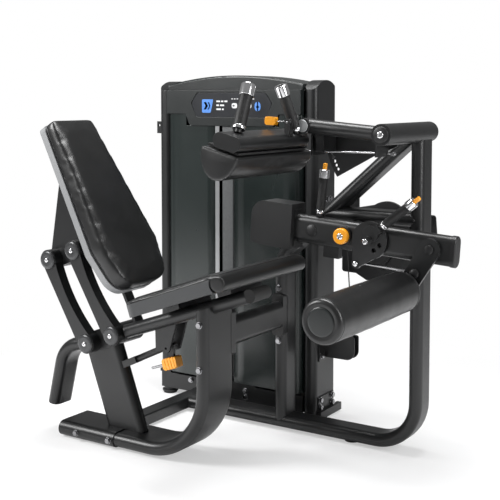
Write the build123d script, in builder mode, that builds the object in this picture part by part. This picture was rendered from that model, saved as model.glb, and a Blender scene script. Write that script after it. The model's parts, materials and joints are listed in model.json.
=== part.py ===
"""Seated leg curl machine with a weight tower.

Millimetres, +X to the user's front, +Y to the tower side, +Z up from the floor.
"""
import os
from math import atan2, cos, degrees, hypot, radians, sin, tan

from build123d import *

os.makedirs("parts", exist_ok=True)

# ---------------------------------------------------------------- planes across the machine
user_y = -255.0            # middle of the seat, the backrest and the front frame
rail_y = 251.0             # middle of the main rail and its uprights
lever_y = 96.0             # middle of the lever beam
arm_y = -70.0              # middle of the thigh arm
cable_y = 452.0            # plane of the cable, the cam and the pulleys
tower_front_y = 362.0
tower_depth = 180.0

# ---------------------------------------------------------------- flat-oval frame tube and fits
tube_t = 52.0
rail_w = 110.0
front_w = 187.0
column_w = 175.0
tube_wall = 3.0
foot_h = 8.0
gap = 0.3                  # running gap between bodies
pin_gap = 0.05             # radial gap of a shaft in its bore
pin_d = 20.0               # pivot pins of the linkages
bolt_washer = 26.0

# ---------------------------------------------------------------- floor frame
front_left_x = -690.0
upright_x = 0.0
front_bend = 250.0
front_upright_top = 660.0
sleeve_len = 280.0
sleeve_wall = 4.0
main_left_x = -460.0
main_upright_x = 588.0
main_bend = 165.0
cross_w = 70.0
cross_h = 48.0
mid_cross_z = 476.0
saddle_t = 9.0
saddle_h = 170.0
foot_w = 60.0

# ---------------------------------------------------------------- centre frame and upper frame
brace_foot_z = 712.0
brace_angle = 41.5
brace_bend = 90.0
beam_top_z = 920.0
hub_z = 1220.0
hub_d = 76.0
hub_near_y = -100.0
hub_seam_y = 35.0
hub_far_y = 316.0
hub_shaft_d = 40.0

# ---------------------------------------------------------------- knee axis and lever
knee_x = 356.0
knee_z = 836.0
lever_slope = 3.83
lever_h = 110.0
lever_left = 209.0         # from the knee axis to the left end of the beam
lever_right = 419.0
end_cap_t = 20.0
axle_d = 35.0
collar_d = 64.0
bearing_d = 84.0
bearing_near_y = 136.0
bearing_far_y = 315.0
knee_cap_d = 60.0
knee_cap_t = 17.0
knee_ring_d = 72.0
blank_cap_s = -135.0
blank_cap_d = 46.0
cam_r = 186.0
cam_disc_r = 95.0
cam_hub_d = 60.0
cam_t = 16.0
cam_start = 170.0          # the lobe's arc, degrees counted from +X toward +Z
cam_end = 262.0
weight_left = 394.0        # counterweight, from the knee axis along the beam
weight_low = -82.0
weight_high = 92.0
weight_near_y = 48.0
weight_t = 100.0
weight_corner = 58.0

# ---------------------------------------------------------------- handles with a push button
grip_d = 33.0
core_d = 24.0
collar_len = 12.0
cap_d = 39.0
cap_len = 32.0
button_d = 16.0
button_out = 24.0
button_in = 14.0
lever_handle_s = -118.0
lever_handle_len = 180.0
lever_handle_lean = -3.0

# ---------------------------------------------------------------- start adjuster and roller
disc_s = 114.0             # along the beam from the knee axis
disc_r = 70.0
disc_boss_d = 62.0
adjust_plate_t = 13.0
adjust_handle_len = 178.0
adjust_handle_turn = 38.0
link_s = 347.0
lug_r = 105.0              # rod pins to the disc centre and to the link pivot
lug_turn = 239.0
rod_pin_d = 10.0
adjust_rod_d = 9.0
link_round_r = 40.0
roller_arm_r = 179.0
roller_r = 75.0
roller_near_y = -560.0
roller_far_y = 44.0
roller_axle_d = 25.0

# ---------------------------------------------------------------- thigh pad arm
arm_d = 54.0
elbow_x = 278.0
elbow_z = 1246.0
elbow_len = 60.0
carrier_x = 220.0
carrier_z = 1201.0
carrier_tilt = -15.0
carrier_near_y = -500.0
carrier_far_y = -43.0
board_t = 8.0
thigh_len = 505.0
thigh_w = 158.0
thigh_depth = 106.0
thigh_shift = -18.0
sector_r = 290.0
sector_start = 178.0
sector_end = 214.0
sector_t = 8.0
sector_hole_d = 12.0
sector_hole_count = 9
sector_hole_pitch = 3.4
latch_w = 32.0

# ---------------------------------------------------------------- backrest linkage and backrest
link_a = (-561.0, 389.0)
link_b = (-430.0, 437.0)
link_rise = 313.0
link_lean = -195.0
link_hub_r = 40.0
link_waist = 48.0
link_t = 42.0
link_span = 150.0          # over the near link face and the far end of the boss
hub_cap_t = 5.0
link_notch_d = 94.0        # cut in the seat tube that clears the front link as it swings
column_foot_x = -400.0
column_top_x = -541.0
tail_turn_x = -715.0
tail_turn_z = 352.0
tail_end_x = -772.0
tail_end_z = 115.0
tail_bend = 120.0
back_lean = 30.6
back_foot_x = -318.0
back_foot_z = 643.0
back_len = 724.0
back_top_w = 240.0
back_low_w = 335.0
back_low_at = 170.0
back_corner = 80.0
back_top_corner = 24.0
back_pad_t = 53.0
back_swell = 18.0          # how much thicker the backrest pad is at its foot
back_plate_low = 110.0     # the backrest frame's reach, up along the shell
back_plate_high = 640.0
back_shell_t = 28.0
back_plate_t = 8.0

# ---------------------------------------------------------------- seat
seat_slope = 19.3
seat_low_z = 634.0         # underside of the seat shell above the near upright
seat_rear = -206.0
seat_front = 205.0
seat_w = 548.0
seat_shell_t = 46.0
seat_wall = 8.0
seat_floor = 6.0
seat_pad_t = 13.0
seat_corner = 45.0
nose_r = 32.0
nose_s = 221.0
nose_up = 24.0
seat_tube_end_x = 170.0
bumper_d = 50.0
bumper_len = 110.0
seat_mount_w = 200.0
seat_lug_t = 10.0
rack_foot = (-352.0, 480.0)
rack_top = (-416.0, 602.0)
rack_w = 46.0
rack_t = 12.0
release_pivot = (-196.0, 412.0)
release_grip = (-196.0, 357.0)
release_len = 95.0
release_h = 52.0
release_w = 44.0
spring_head = (-227.0, 404.7)
spring_tab = 46.0          # from the spring's foot point to its end
spring_d = 26.0
spring_pin_d = 14.0
release_lug_r = 18.0
release_arm_t = 12.0
release_rod_len = 55.0
release_rod_d = 10.0
spring_foot = (-398.0, 324.0)

# ---------------------------------------------------------------- tower
tower_left_x = -735.0
tower_right_x = 75.0
column_x = 60.0
column_r = 24.0
column_wall = 3.0
left_foot_top = 111.0
right_foot_z = 12.0
dome_front_z = 1380.0
dome_top_z = 1420.0
cap_low_z = 1380.0
cap_side_z = 1404.0
cap_peak_z = 1442.0
cover_low_z = 1277.0
cover_drop_z = 1226.0
panel_low_z = 112.0
panel_t = 4.0
panel_proud = 16.0
slot_left_x = -410.0
slot_right_x = -322.0
base_rail_h = 69.0
base_rail_w = 50.0
base_rail_z = 29.0

# ---------------------------------------------------------------- weight stack
stack_x = -370.0
plate_x = 300.0
plate_y = 104.0
plate_pitch = 18.0
plate_gap = 0.4
plate_count = 17
lifted_count = 6
stack_foot_z = 125.0
buffer_h = 18.0
buffer_d = 48.0
rod_pitch = 220.0
rod_d = 20.0
rod_hole_gap = 1.0
rod_top_z = 1232.0
selector_d = 22.0
head_h = 36.0
pulley_r = 45.0
pulley_t = 18.0
cable_d = 5.0
pulley_axle_d = 12.0
lower_pulley_x = 155.0
low_pulley_z = 330.0
inner_pulley_x = -60.0
top_pulley_z = 1306.0
cheek_t = 4.0

# ---------------------------------------------------------------- worked-out places
rail_z = foot_h + tube_t / 2
rail_top = foot_h + tube_t
hub_x = main_upright_x
tower_far_y = tower_front_y + tower_depth
link_len = hypot(link_rise, link_lean)
link_turn = degrees(atan2(link_rise, link_lean))
top_a = (link_a[0] + link_lean, link_a[1] + link_rise)
top_b = (link_b[0] + link_lean, link_b[1] + link_rise)
link_near_y = user_y - link_span / 2
boss_near_y = link_near_y + link_t + gap
boss_far_y = user_y + link_span / 2
seat_grade = tan(radians(seat_slope))
seat_tube_z = link_b[1] - link_b[0] * seat_grade
lever_near_y = lever_y - tube_t / 2
lever_far_y = lever_y + tube_t / 2
adjust_near_y = lever_near_y - gap - adjust_plate_t
wrap_r = pulley_r + cable_d / 2 + 0.2
low_run_z = low_pulley_z - wrap_r
cam_wrap_r = cam_r + cable_d / 2 + 0.2
brace_run = hub_x - upright_x
inner_left_x = tower_left_x + column_x
inner_right_x = tower_right_x - column_x


# ---------------------------------------------------------------- shared shapes
def side_plane(x, z, y, turn=0.0):
    """A plane that faces the near side, its first axis turned up from +X by the given degrees."""
    along = (cos(radians(turn)), 0, sin(radians(turn)))
    return Plane(origin=(x, y, z), x_dir=along, z_dir=(0, -1, 0))


def turned(x, z, radius, turn):
    """The point (x, z) moved by the radius in the direction of the given degrees."""
    return (x + radius * cos(radians(turn)), z + radius * sin(radians(turn)))


def on_lever(along, up=0.0):
    """A point (x, z) of the lever, from the knee axis along the beam and square to it."""
    x, z = turned(knee_x, knee_z, along, -lever_slope)
    return turned(x, z, up, 90 - lever_slope)


def on_seat(along, up=0.0):
    """A point (x, z) of the seat, from its underside above the near upright."""
    x, z = turned(upright_x, seat_low_z, along, seat_slope)
    return turned(x, z, up, 90 + seat_slope)


def oval_tube(points, width, bend=0.0, wall=tube_wall, side=(0, 1, 0), thick=tube_t):
    """A flat-oval tube along the points, its wide direction along side; without a wall it is solid."""
    start = Vector(*points[0])
    with BuildPart() as tube:
        with BuildLine():
            if bend:
                FilletPolyline(*points, radius=bend)
            else:
                Polyline(*points)
        with BuildSketch(Plane(origin=start, x_dir=side, z_dir=Vector(*points[1]) - start)):
            SlotOverall(width, thick)
            if wall:
                SlotOverall(width - 2 * wall, thick - 2 * wall, mode=Mode.SUBTRACT)
        sweep()
    return tube.part


def bar(start, end, diameter):
    """A round bar from one point to another."""
    path = Vector(*end) - Vector(*start)
    with BuildPart() as round_bar:
        with BuildSketch(Plane(origin=start, z_dir=path)):
            Circle(diameter / 2)
        extrude(amount=path.length)
    return round_bar.part


def barrel(centre, near_y, far_y, outer, bore=0.0):
    """A round hub along Y about the centre (x, z), bored right through if a bore is given."""
    with BuildPart() as hub:
        with BuildSketch(side_plane(*centre, near_y)):
            Circle(outer / 2)
            if bore:
                Circle(bore / 2, mode=Mode.SUBTRACT)
        extrude(amount=near_y - far_y)
    return hub.part


def upright_plate(outline, near_y, thickness, rounding=0.0):
    """A plate along X and Z with the outline of (x, z) points, from its near face toward +Y."""
    with BuildPart() as plate:
        with BuildSketch(side_plane(0, 0, near_y)) as face_sketch:
            with BuildLine():
                Polyline(*outline, close=True)
            make_face()
            if rounding:
                fillet(face_sketch.vertices(), rounding)
        extrude(amount=-thickness)
    return plate.part


def block(low, high):
    """A box between two opposite corners."""
    with BuildPart() as box:
        with BuildSketch(Plane.XY.offset(low[2])):
            with Locations(((low[0] + high[0]) / 2, (low[1] + high[1]) / 2)):
                Rectangle(high[0] - low[0], high[1] - low[1])
        extrude(amount=high[2] - low[2])
    return box.part


def hex_bolt(place, across=18.0):
    """A hexagon head on its washer, standing on the given plane."""
    with BuildPart() as bolt:
        with BuildSketch(place):
            Circle(bolt_washer / 2)
        extrude(amount=2.5)
        with BuildSketch(place.offset(2.5)):
            RegularPolygon(across / 2, 6, major_radius=False)
        extrude(amount=8)
    return bolt.part


def grip_handle(start, end, bored=False):
    """A round handle: a core bar, a foot collar, a grip and a wider end cap, bored for a button."""
    axis = Vector(*end) - Vector(*start)
    place = Plane(origin=start, z_dir=axis)
    grip_start = 2 * collar_len
    cap_start = axis.length - cap_len
    with BuildPart() as handle:
        with BuildSketch(place):
            Circle(core_d / 2)
        extrude(amount=axis.length)
        with BuildSketch(place.offset(collar_len)):
            Circle(cap_d / 2 - 2)
        extrude(amount=collar_len)
        with BuildSketch(place.offset(grip_start)):
            Circle(grip_d / 2)
        extrude(amount=cap_start - grip_start)
        with BuildSketch(place.offset(cap_start)):
            Circle(cap_d / 2)
        extrude(amount=cap_len)
        if bored:
            with BuildSketch(place.offset(axis.length)):
                Circle(button_d / 2 + gap)
            extrude(amount=-2 * button_in, mode=Mode.SUBTRACT)
    return handle.part


def push_button(start, end):
    """The button at the end of a handle that runs from start to end."""
    axis = Vector(*end) - Vector(*start)
    with BuildPart() as button:
        with BuildSketch(Plane(origin=end, z_dir=axis).offset(-button_in)):
            Circle(button_d / 2)
        extrude(amount=button_in + button_out)
        rims = button.edges().filter_by(GeomType.CIRCLE)
        fillet(rims.sort_by_distance(Vector(*end) + axis.normalized() * button_out)[0], 3)
    return button.part


def save(part, name):
    part.label = name
    export_step(part, f"parts/{name}.step")


# ---------------------------------------------------------------- solid envelopes that neighbours are coped to
front_route = [
    (front_left_x + 12, user_y, rail_z),
    (upright_x, user_y, rail_z),
    (upright_x, user_y, front_upright_top),
]
seat_route = [
    (link_b[0], user_y, link_b[1]),
    (seat_tube_end_x, user_y, seat_tube_z + seat_tube_end_x * seat_grade),
]
main_route = [
    (main_left_x, rail_y, rail_z),
    (main_upright_x, rail_y, rail_z),
    (main_upright_x, rail_y, hub_z),
]
center_route = [
    (upright_x, rail_y, rail_z),
    (upright_x, rail_y, brace_foot_z),
    (hub_x, rail_y, brace_foot_z + brace_run * tan(radians(brace_angle))),
]
front_solid = oval_tube(front_route, front_w, front_bend, wall=0)
seat_tube_solid = oval_tube(seat_route, rail_w, wall=0)
main_solid = oval_tube(main_route, rail_w, main_bend, wall=0)
center_solid = oval_tube(center_route, rail_w, brace_bend, wall=0)
hub_solid = barrel((hub_x, hub_z), hub_near_y, hub_far_y, hub_d)
sleeve_plane = Plane(origin=(front_left_x, user_y, rail_z), x_dir=(0, 1, 0), z_dir=(1, 0, 0))
with BuildPart() as sleeve_solid:
    with BuildSketch(sleeve_plane):
        SlotOverall(front_w + 2 * sleeve_wall, tube_t + 2 * sleeve_wall)
    extrude(amount=sleeve_len)

# ---------------------------------------------------------------- floor frame
with BuildPart() as front_rail:
    add(oval_tube(front_route, front_w, front_bend))
    add(seat_tube_solid, mode=Mode.SUBTRACT)
    with BuildSketch(side_plane(upright_x, seat_tube_z, user_y - front_w, seat_slope)):
        with Locations((0, front_w)):
            Rectangle(2 * front_w, 2 * front_w)
    extrude(amount=-2 * front_w, mode=Mode.SUBTRACT)
    add(sleeve_solid.part)
    with BuildSketch(sleeve_plane.offset(12)):
        SlotOverall(front_w - 2 * tube_wall, tube_t - 2 * tube_wall)
    extrude(amount=sleeve_len, mode=Mode.SUBTRACT)
save(front_rail.part, "front_rail")

with BuildPart() as floor_cross:
    with BuildSketch(Plane(origin=(main_left_x - cross_w / 2, user_y, rail_z), x_dir=(1, 0, 0), z_dir=(0, 1, 0))):
        RectangleRounded(cross_w, cross_h, 6)
        RectangleRounded(cross_w - 2 * tube_wall, cross_h - 2 * tube_wall, 3, mode=Mode.SUBTRACT)
    extrude(amount=tower_front_y - user_y)
    add(sleeve_solid.part, mode=Mode.SUBTRACT)
save(floor_cross.part, "floor_cross")

with BuildPart() as mid_cross:
    cross_route = [(upright_x, user_y, mid_cross_z), (upright_x, rail_y, mid_cross_z)]
    add(oval_tube(cross_route, rail_w, side=(0, 0, 1)))
    for saddle_y in (user_y + front_w / 2 - tube_t / 2, rail_y - rail_w / 2 - saddle_t):
        with BuildSketch(Plane(origin=(upright_x, saddle_y, mid_cross_z), x_dir=(0, 0, 1), z_dir=(0, 1, 0))):
            RectangleRounded(saddle_h, tube_t, 12)
        extrude(amount=tube_t / 2 + saddle_t)
    add(front_solid, mode=Mode.SUBTRACT)
    add(center_solid, mode=Mode.SUBTRACT)
save(mid_cross.part, "mid_cross")

with BuildPart() as main_rail:
    add(oval_tube(main_route, rail_w, main_bend))
    add(hub_solid, mode=Mode.SUBTRACT)
save(main_rail.part, "main_rail")

with BuildPart() as center_frame:
    add(oval_tube(center_route, rail_w, brace_bend))
    add(main_solid, mode=Mode.SUBTRACT)
    add(hub_solid, mode=Mode.SUBTRACT)
save(center_frame.part, "center_frame")

# ---------------------------------------------------------------- upper beam with the knee bearing under it
beam_z = beam_top_z - tube_t / 2
beam_left_x = upright_x + (beam_z - brace_foot_z) / tan(radians(brace_angle))
with BuildPart() as upper_beam:
    add(oval_tube([(beam_left_x, rail_y, beam_z), (main_upright_x, rail_y, beam_z)], rail_w))
    add(center_solid, mode=Mode.SUBTRACT)
    add(main_solid, mode=Mode.SUBTRACT)
    with BuildSketch(side_plane(knee_x, knee_z, bearing_near_y)):
        Circle(bearing_d / 2)
    extrude(amount=bearing_near_y - bearing_far_y)
    with BuildSketch(side_plane(knee_x, knee_z, rail_y - rail_w / 2 + tube_t / 2)):
        with Locations((0, (beam_top_z - tube_t - knee_z) / 2)):
            Rectangle(bearing_d, beam_top_z - tube_t - knee_z)
    extrude(amount=tube_t - rail_w)
    add(barrel((knee_x, knee_z), bearing_near_y, bearing_far_y, axle_d + 2 * pin_gap), mode=Mode.SUBTRACT)
save(upper_beam.part, "upper_beam")

# ---------------------------------------------------------------- fixed half of the thigh pad pivot
with BuildPart() as pivot_housing:
    arc_start = turned(hub_x, hub_z, sector_r, sector_start)
    arc_end = turned(hub_x, hub_z, sector_r, sector_end)
    arc_middle = turned(hub_x, hub_z, sector_r, (sector_start + sector_end) / 2)
    with BuildSketch(side_plane(0, 0, hub_seam_y + gap)):
        with BuildLine():
            ThreePointArc(arc_start, arc_middle, arc_end)
            Polyline(arc_end, (hub_x - 84, hub_z - 78), (hub_x, hub_z - hub_d * 0.6), (hub_x, arc_start[1]), arc_start)
        make_face()
        with Locations((hub_x, hub_z)):
            hole_first = (sector_start + sector_end - (sector_hole_count - 1) * sector_hole_pitch) / 2
            with PolarLocations(sector_r - 18, sector_hole_count, hole_first, sector_hole_pitch * sector_hole_count):
                Circle(sector_hole_d / 2, mode=Mode.SUBTRACT)
    extrude(amount=-sector_t)
    add(barrel((hub_x, hub_z), hub_seam_y + gap, hub_far_y, hub_d))
    add(barrel((hub_x, hub_z), hub_seam_y, hub_far_y + 1, hub_shaft_d + 2 * pin_gap), mode=Mode.SUBTRACT)
save(pivot_housing.part, "pivot_housing")

# ---------------------------------------------------------------- seat support: bracket, column, tail and seat tube
bracket_across = hypot(link_b[0] - link_a[0], link_b[1] - link_a[1])
bracket_turn = degrees(atan2(link_b[1] - link_a[1], link_b[0] - link_a[0]))
bracket_middle = ((link_a[0] + link_b[0]) / 2, (link_a[1] + link_b[1]) / 2)
with BuildPart() as bracket_solid:
    with BuildSketch(side_plane(*bracket_middle, boss_near_y, bracket_turn)):
        SlotOverall(bracket_across + 2 * link_hub_r, 2 * link_hub_r)
    extrude(amount=boss_near_y - boss_far_y)

spring_turn = degrees(atan2(spring_head[1] - spring_foot[1], spring_head[0] - spring_foot[0]))
column_route = [(column_foot_x, user_y, rail_z), (column_top_x, user_y, bracket_middle[1])]
column_solid = oval_tube(column_route, column_w, wall=0, side=(1, 0, 0))
with BuildPart() as seat_column:
    add(oval_tube(column_route, column_w, side=(1, 0, 0)))
    with BuildSketch(side_plane(*spring_foot, user_y - tube_t / 2 + 6, spring_turn)):
        Rectangle(90, 26)
    extrude(amount=12 - tube_t)
    add(front_solid, mode=Mode.SUBTRACT)
    add(sleeve_solid.part, mode=Mode.SUBTRACT)
    add(block((front_left_x, user_y - column_w, 0), (0, user_y + column_w, rail_top)), mode=Mode.SUBTRACT)
    add(bracket_solid.part)
    for pin_at in (link_a, link_b):
        add(barrel(pin_at, boss_near_y - 1, boss_far_y + 1, pin_d + 2 * pin_gap), mode=Mode.SUBTRACT)
save(seat_column.part, "seat_column")

with BuildPart() as tail_tube:
    tail_route = [
        (link_a[0], user_y, link_a[1]),
        (tail_turn_x, user_y, tail_turn_z),
        (tail_end_x, user_y, tail_end_z),
    ]
    add(oval_tube(tail_route, rail_w, tail_bend))
    add(column_solid, mode=Mode.SUBTRACT)
    add(bracket_solid.part, mode=Mode.SUBTRACT)
    add(barrel(link_a, link_near_y, boss_near_y, 3 * link_hub_r), mode=Mode.SUBTRACT)
save(tail_tube.part, "tail_tube")

tube_up = (seat_tube_z - seat_low_z) * cos(radians(seat_slope))
with BuildPart() as seat_frame:
    add(oval_tube(seat_route, rail_w))
    for mount_s in (seat_rear + 80, seat_front - 90):
        with BuildSketch(side_plane(*on_seat(mount_s, tube_up / 2 + tube_t / 4), user_y - seat_mount_w / 2, seat_slope)):
            Rectangle(60, -tube_up - tube_t / 2)
        extrude(amount=-seat_mount_w)
    for lug_y in (user_y - rail_w / 4 - seat_lug_t, user_y + rail_w / 4):
        with BuildSketch(side_plane(*release_pivot, lug_y)):
            with BuildLine():
                Polyline((-48, -18), (-50, 108), (62, 146), (release_lug_r, 0), close=True)
            make_face()
            Circle(release_lug_r)
            Circle(pin_d / 4 + pin_gap, mode=Mode.SUBTRACT)
        extrude(amount=-seat_lug_t)
    with BuildSketch(Plane(origin=(seat_route[1][0], user_y, seat_route[1][2]), x_dir=(0, 1, 0),
                           z_dir=(cos(radians(seat_slope)), 0, sin(radians(seat_slope))))):
        SlotOverall(rail_w - 2 * tube_wall, tube_t - 2 * tube_wall)
    extrude(amount=-6)
    add(barrel(spring_head, user_y - rail_w / 4, user_y + rail_w / 4, spring_pin_d))
    rack_rise = hypot(rack_top[0] - rack_foot[0], rack_top[1] - rack_foot[1])
    rack_turn = degrees(atan2(rack_top[1] - rack_foot[1], rack_top[0] - rack_foot[0]))
    with BuildSketch(Plane(origin=(rack_foot[0], user_y, rack_foot[1]), x_dir=(0, 1, 0),
                           z_dir=(cos(radians(rack_turn)), 0, sin(radians(rack_turn))))):
        Rectangle(rack_w, rack_t)
    extrude(amount=rack_rise)
    add(bracket_solid.part, mode=Mode.SUBTRACT)
    add(barrel(link_b, link_near_y, boss_near_y, link_notch_d), mode=Mode.SUBTRACT)
save(seat_frame.part, "seat_frame")

with BuildPart() as gas_spring:
    spring_start = turned(*spring_foot, spring_tab, spring_turn)
    add(bar((spring_start[0], user_y, spring_start[1]), (spring_head[0], user_y, spring_head[1]), spring_d))
    add(barrel(spring_head, user_y - spring_d, user_y + spring_d, spring_pin_d), mode=Mode.SUBTRACT)
save(gas_spring.part, "gas_spring")

with BuildPart() as seat_release:
    with BuildSketch(side_plane(*release_grip, user_y - release_w / 2 - 12, seat_slope)):
        RectangleRounded(release_len, release_h, 8)
    extrude(amount=-release_w)
    with BuildSketch(side_plane(*release_pivot, user_y - release_arm_t / 2)):
        Circle(release_lug_r - 4)
        with Locations((0, (release_grip[1] - release_pivot[1]) / 2)):
            Rectangle(release_lug_r, release_pivot[1] - release_grip[1])
    extrude(amount=-release_arm_t)
    add(barrel(release_pivot, user_y - rail_w / 4 - seat_lug_t, user_y + rail_w / 4 + seat_lug_t, pin_d / 2))
    rod_start = turned(*release_grip, -release_len / 2, seat_slope)
    rod_end = turned(*rod_start, -release_rod_len, seat_slope)
    add(bar((rod_start[0], user_y - 12, rod_start[1]), (rod_end[0], user_y - 12, rod_end[1]), release_rod_d))
save(seat_release.part, "seat_release")

# ---------------------------------------------------------------- seat
seat_mid_s = (seat_rear + seat_front) / 2
seat_len = seat_front - seat_rear


def seat_level(up):
    """The plane that lies along the seat at the given height over its underside."""
    x, z = on_seat(0, up)
    along = (cos(radians(seat_slope)), 0, sin(radians(seat_slope)))
    return Plane(origin=(x, user_y, z), x_dir=along, z_dir=(-along[2], 0, along[0]))


nose_solid = barrel(on_seat(nose_s, nose_up), user_y - seat_w / 2, user_y + seat_w / 2, 2 * nose_r)
with BuildPart() as seat_shell:
    with BuildSketch(seat_level(0)) as seat_face:
        with Locations((seat_mid_s, 0)):
            Rectangle(seat_len, seat_w)
        fillet(seat_face.vertices().group_by(Axis.X)[0], seat_corner)
    extrude(amount=seat_shell_t)
    with BuildSketch(seat_level(seat_floor)) as seat_face:
        with Locations((seat_mid_s, 0)):
            Rectangle(seat_len - 2 * seat_wall, seat_w - 2 * seat_wall)
        fillet(seat_face.vertices().group_by(Axis.X)[0], seat_corner - seat_wall)
    extrude(amount=seat_shell_t, mode=Mode.SUBTRACT)
    add(nose_solid, mode=Mode.SUBTRACT)
save(seat_shell.part, "seat_shell")

with BuildPart() as seat_pad:
    with BuildSketch(seat_level(seat_floor)) as seat_face:
        with Locations((seat_mid_s, 0)):
            Rectangle(seat_len - 2 * seat_wall, seat_w - 2 * seat_wall)
        fillet(seat_face.vertices().group_by(Axis.X)[0], seat_corner - seat_wall)
    extrude(amount=seat_shell_t - seat_floor)
    with BuildSketch(seat_level(seat_shell_t)) as seat_face:
        with Locations((seat_mid_s, 0)):
            Rectangle(seat_len, seat_w)
        fillet(seat_face.vertices().group_by(Axis.X)[0], seat_corner)
    extrude(amount=seat_pad_t)
    add(nose_solid)
save(seat_pad.part, "seat_pad")

# ---------------------------------------------------------------- backrest: pad, shell, frame and its two links
def on_back(along, out=0.0):
    """A point (x, z) of the backrest, up along its front face and out from it."""
    x, z = turned(*(back_foot_x, back_foot_z), along, 90 + back_lean)
    return turned(x, z, out, back_lean)


def back_level(out):
    """The plane that lies along the backrest, out from its front face."""
    x, z = on_back(0, out)
    away = (cos(radians(back_lean)), 0, sin(radians(back_lean)))
    return Plane(origin=(x, user_y, z), x_dir=(0, 1, 0), z_dir=away)


def back_slab(out, thickness, shrink=0.0):
    """A slab with the backrest's outline, from the given level backward."""
    low_half = back_low_w / 2 - shrink
    top_half = back_top_w / 2 - shrink
    with BuildPart() as slab:
        with BuildSketch(back_level(out)) as outline:
            with BuildLine():
                Polyline(
                    (-top_half, back_len - shrink),
                    (top_half, back_len - shrink),
                    (low_half, back_low_at),
                    (low_half - 36, shrink),
                    (36 - low_half, shrink),
                    (-low_half, back_low_at),
                    close=True,
                )
            make_face()
            fillet(outline.vertices().group_by(Axis.Y)[0], back_corner)
            fillet(outline.vertices().group_by(Axis.Y)[-1], back_top_corner)
        extrude(amount=-thickness)
    return slab.part


with BuildPart() as backrest_pad:
    add(back_slab(back_swell, back_swell + back_pad_t))
    over_swell = [
        on_back(back_low_at, back_swell),
        on_back(back_len + 1, 0),
        on_back(back_len + 1, 2 * back_swell),
        on_back(back_low_at, 2 * back_swell),
    ]
    add(upright_plate(over_swell, user_y - back_low_w, 2 * back_low_w), mode=Mode.SUBTRACT)
save(backrest_pad.part, "backrest_pad")

with BuildPart() as backrest_shell:
    add(back_slab(-back_pad_t, back_shell_t, 2))
save(backrest_shell.part, "backrest_shell")

back_rear = -back_pad_t - back_shell_t
with BuildPart() as backrest_frame:
    with BuildSketch(back_level(back_rear)):
        with Locations((0, (back_plate_low + back_plate_high) / 2)):
            RectangleRounded(link_span, back_plate_high - back_plate_low, 20)
    extrude(amount=-back_plate_t)
    gusset = [
        on_back(back_plate_high - 10, back_rear),
        (top_a[0] - 22, top_a[1] + 28),
        (top_a[0] + 14, top_a[1] - 34),
        (top_b[0] + 26, top_b[1] - 26),
        on_back(back_plate_low + 10, back_rear),
    ]
    for gusset_y in (boss_near_y, boss_far_y - back_plate_t):
        add(upright_plate(gusset, gusset_y, back_plate_t))
    for boss in (top_a, top_b):
        add(barrel(boss, boss_near_y, boss_far_y, 2 * link_hub_r - 4))
    for boss, boss_gap in ((top_a, pin_gap), (top_b, gap)):
        add(barrel(boss, boss_near_y, boss_far_y, pin_d + 2 * boss_gap), mode=Mode.SUBTRACT)
    with BuildSketch(back_level(back_rear)):
        with Locations((0, back_len / 2)):
            Rectangle(2 * link_span, 2 * back_len)
    extrude(amount=back_len, mode=Mode.SUBTRACT)
save(backrest_frame.part, "backrest_frame")


def linkage_arm(foot):
    """One link of the backrest: a waisted plate, its two hub ends, caps and pins."""
    with BuildPart() as arm:
        with BuildSketch(side_plane(*foot, link_near_y, link_turn)):
            with Locations((0, 0), (link_len, 0)):
                Circle(link_hub_r)
            with BuildLine():
                Line((0, link_hub_r - 1), (link_len, link_hub_r - 5))
                Line((link_len, link_hub_r - 5), (link_len, 5 - link_hub_r))
                ThreePointArc(
                    (link_len, 5 - link_hub_r),
                    (0.55 * link_len, link_hub_r - 3 - link_waist),
                    (0, 1 - link_hub_r),
                )
                Line((0, 1 - link_hub_r), (0, link_hub_r - 1))
            make_face()
        extrude(amount=-link_t)
        with BuildSketch(side_plane(*foot, link_near_y, link_turn)):
            with Locations((0, 0), (link_len, 0)):
                Circle(link_hub_r - 5)
        extrude(amount=hub_cap_t)
        with BuildSketch(side_plane(*foot, link_near_y + link_t, link_turn)):
            with Locations((0, 0), (link_len, 0)):
                Circle(pin_d / 2)
        extrude(amount=link_t - link_span)
    return arm.part


for arm_name, arm_foot in (("link_rear", link_a), ("link_front", link_b)):
    with BuildPart() as link_arm:
        add(linkage_arm(arm_foot))
    save(link_arm.part, arm_name)

# ---------------------------------------------------------------- tower: columns, cap, shrouds and base
def column_shape(left_x, low_z, inset=0.0):
    """A tower column with its domed top, shrunk by the inset."""
    with BuildPart() as column:
        with BuildSketch(Plane.XY.offset(low_z)):
            with Locations((left_x + column_x / 2, tower_front_y + tower_depth / 2)):
                RectangleRounded(column_x - 2 * inset, tower_depth - 2 * inset, column_r - inset)
        extrude(amount=dome_top_z - inset - low_z)
        with BuildSketch(Plane(origin=(left_x, 0, 0), x_dir=(0, 1, 0), z_dir=(1, 0, 0))):
            with BuildLine():
                Polyline(
                    (tower_front_y, dome_front_z - inset),
                    (tower_front_y, low_z),
                    (tower_far_y, low_z),
                    (tower_far_y, dome_front_z - inset),
                )
                ThreePointArc(
                    (tower_far_y, dome_front_z - inset),
                    (tower_front_y + tower_depth / 2, dome_top_z - inset),
                    (tower_front_y, dome_front_z - inset),
                )
            make_face()
        extrude(amount=column_x, mode=Mode.INTERSECT)
    return column.part


right_column_x = tower_right_x - column_x
with BuildPart() as left_column:
    add(column_shape(tower_left_x, left_foot_top))
    add(column_shape(tower_left_x, left_foot_top, column_wall), mode=Mode.SUBTRACT)
    add(block((tower_left_x - 25, tower_front_y + 18, 1186), (tower_left_x, tower_front_y + 26, 1240)))
    add(bar((tower_left_x - 13, tower_front_y, 1222), (tower_left_x - 13, tower_front_y + 50, 1222), 12),
        mode=Mode.SUBTRACT)
save(left_column.part, "left_column")

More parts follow.
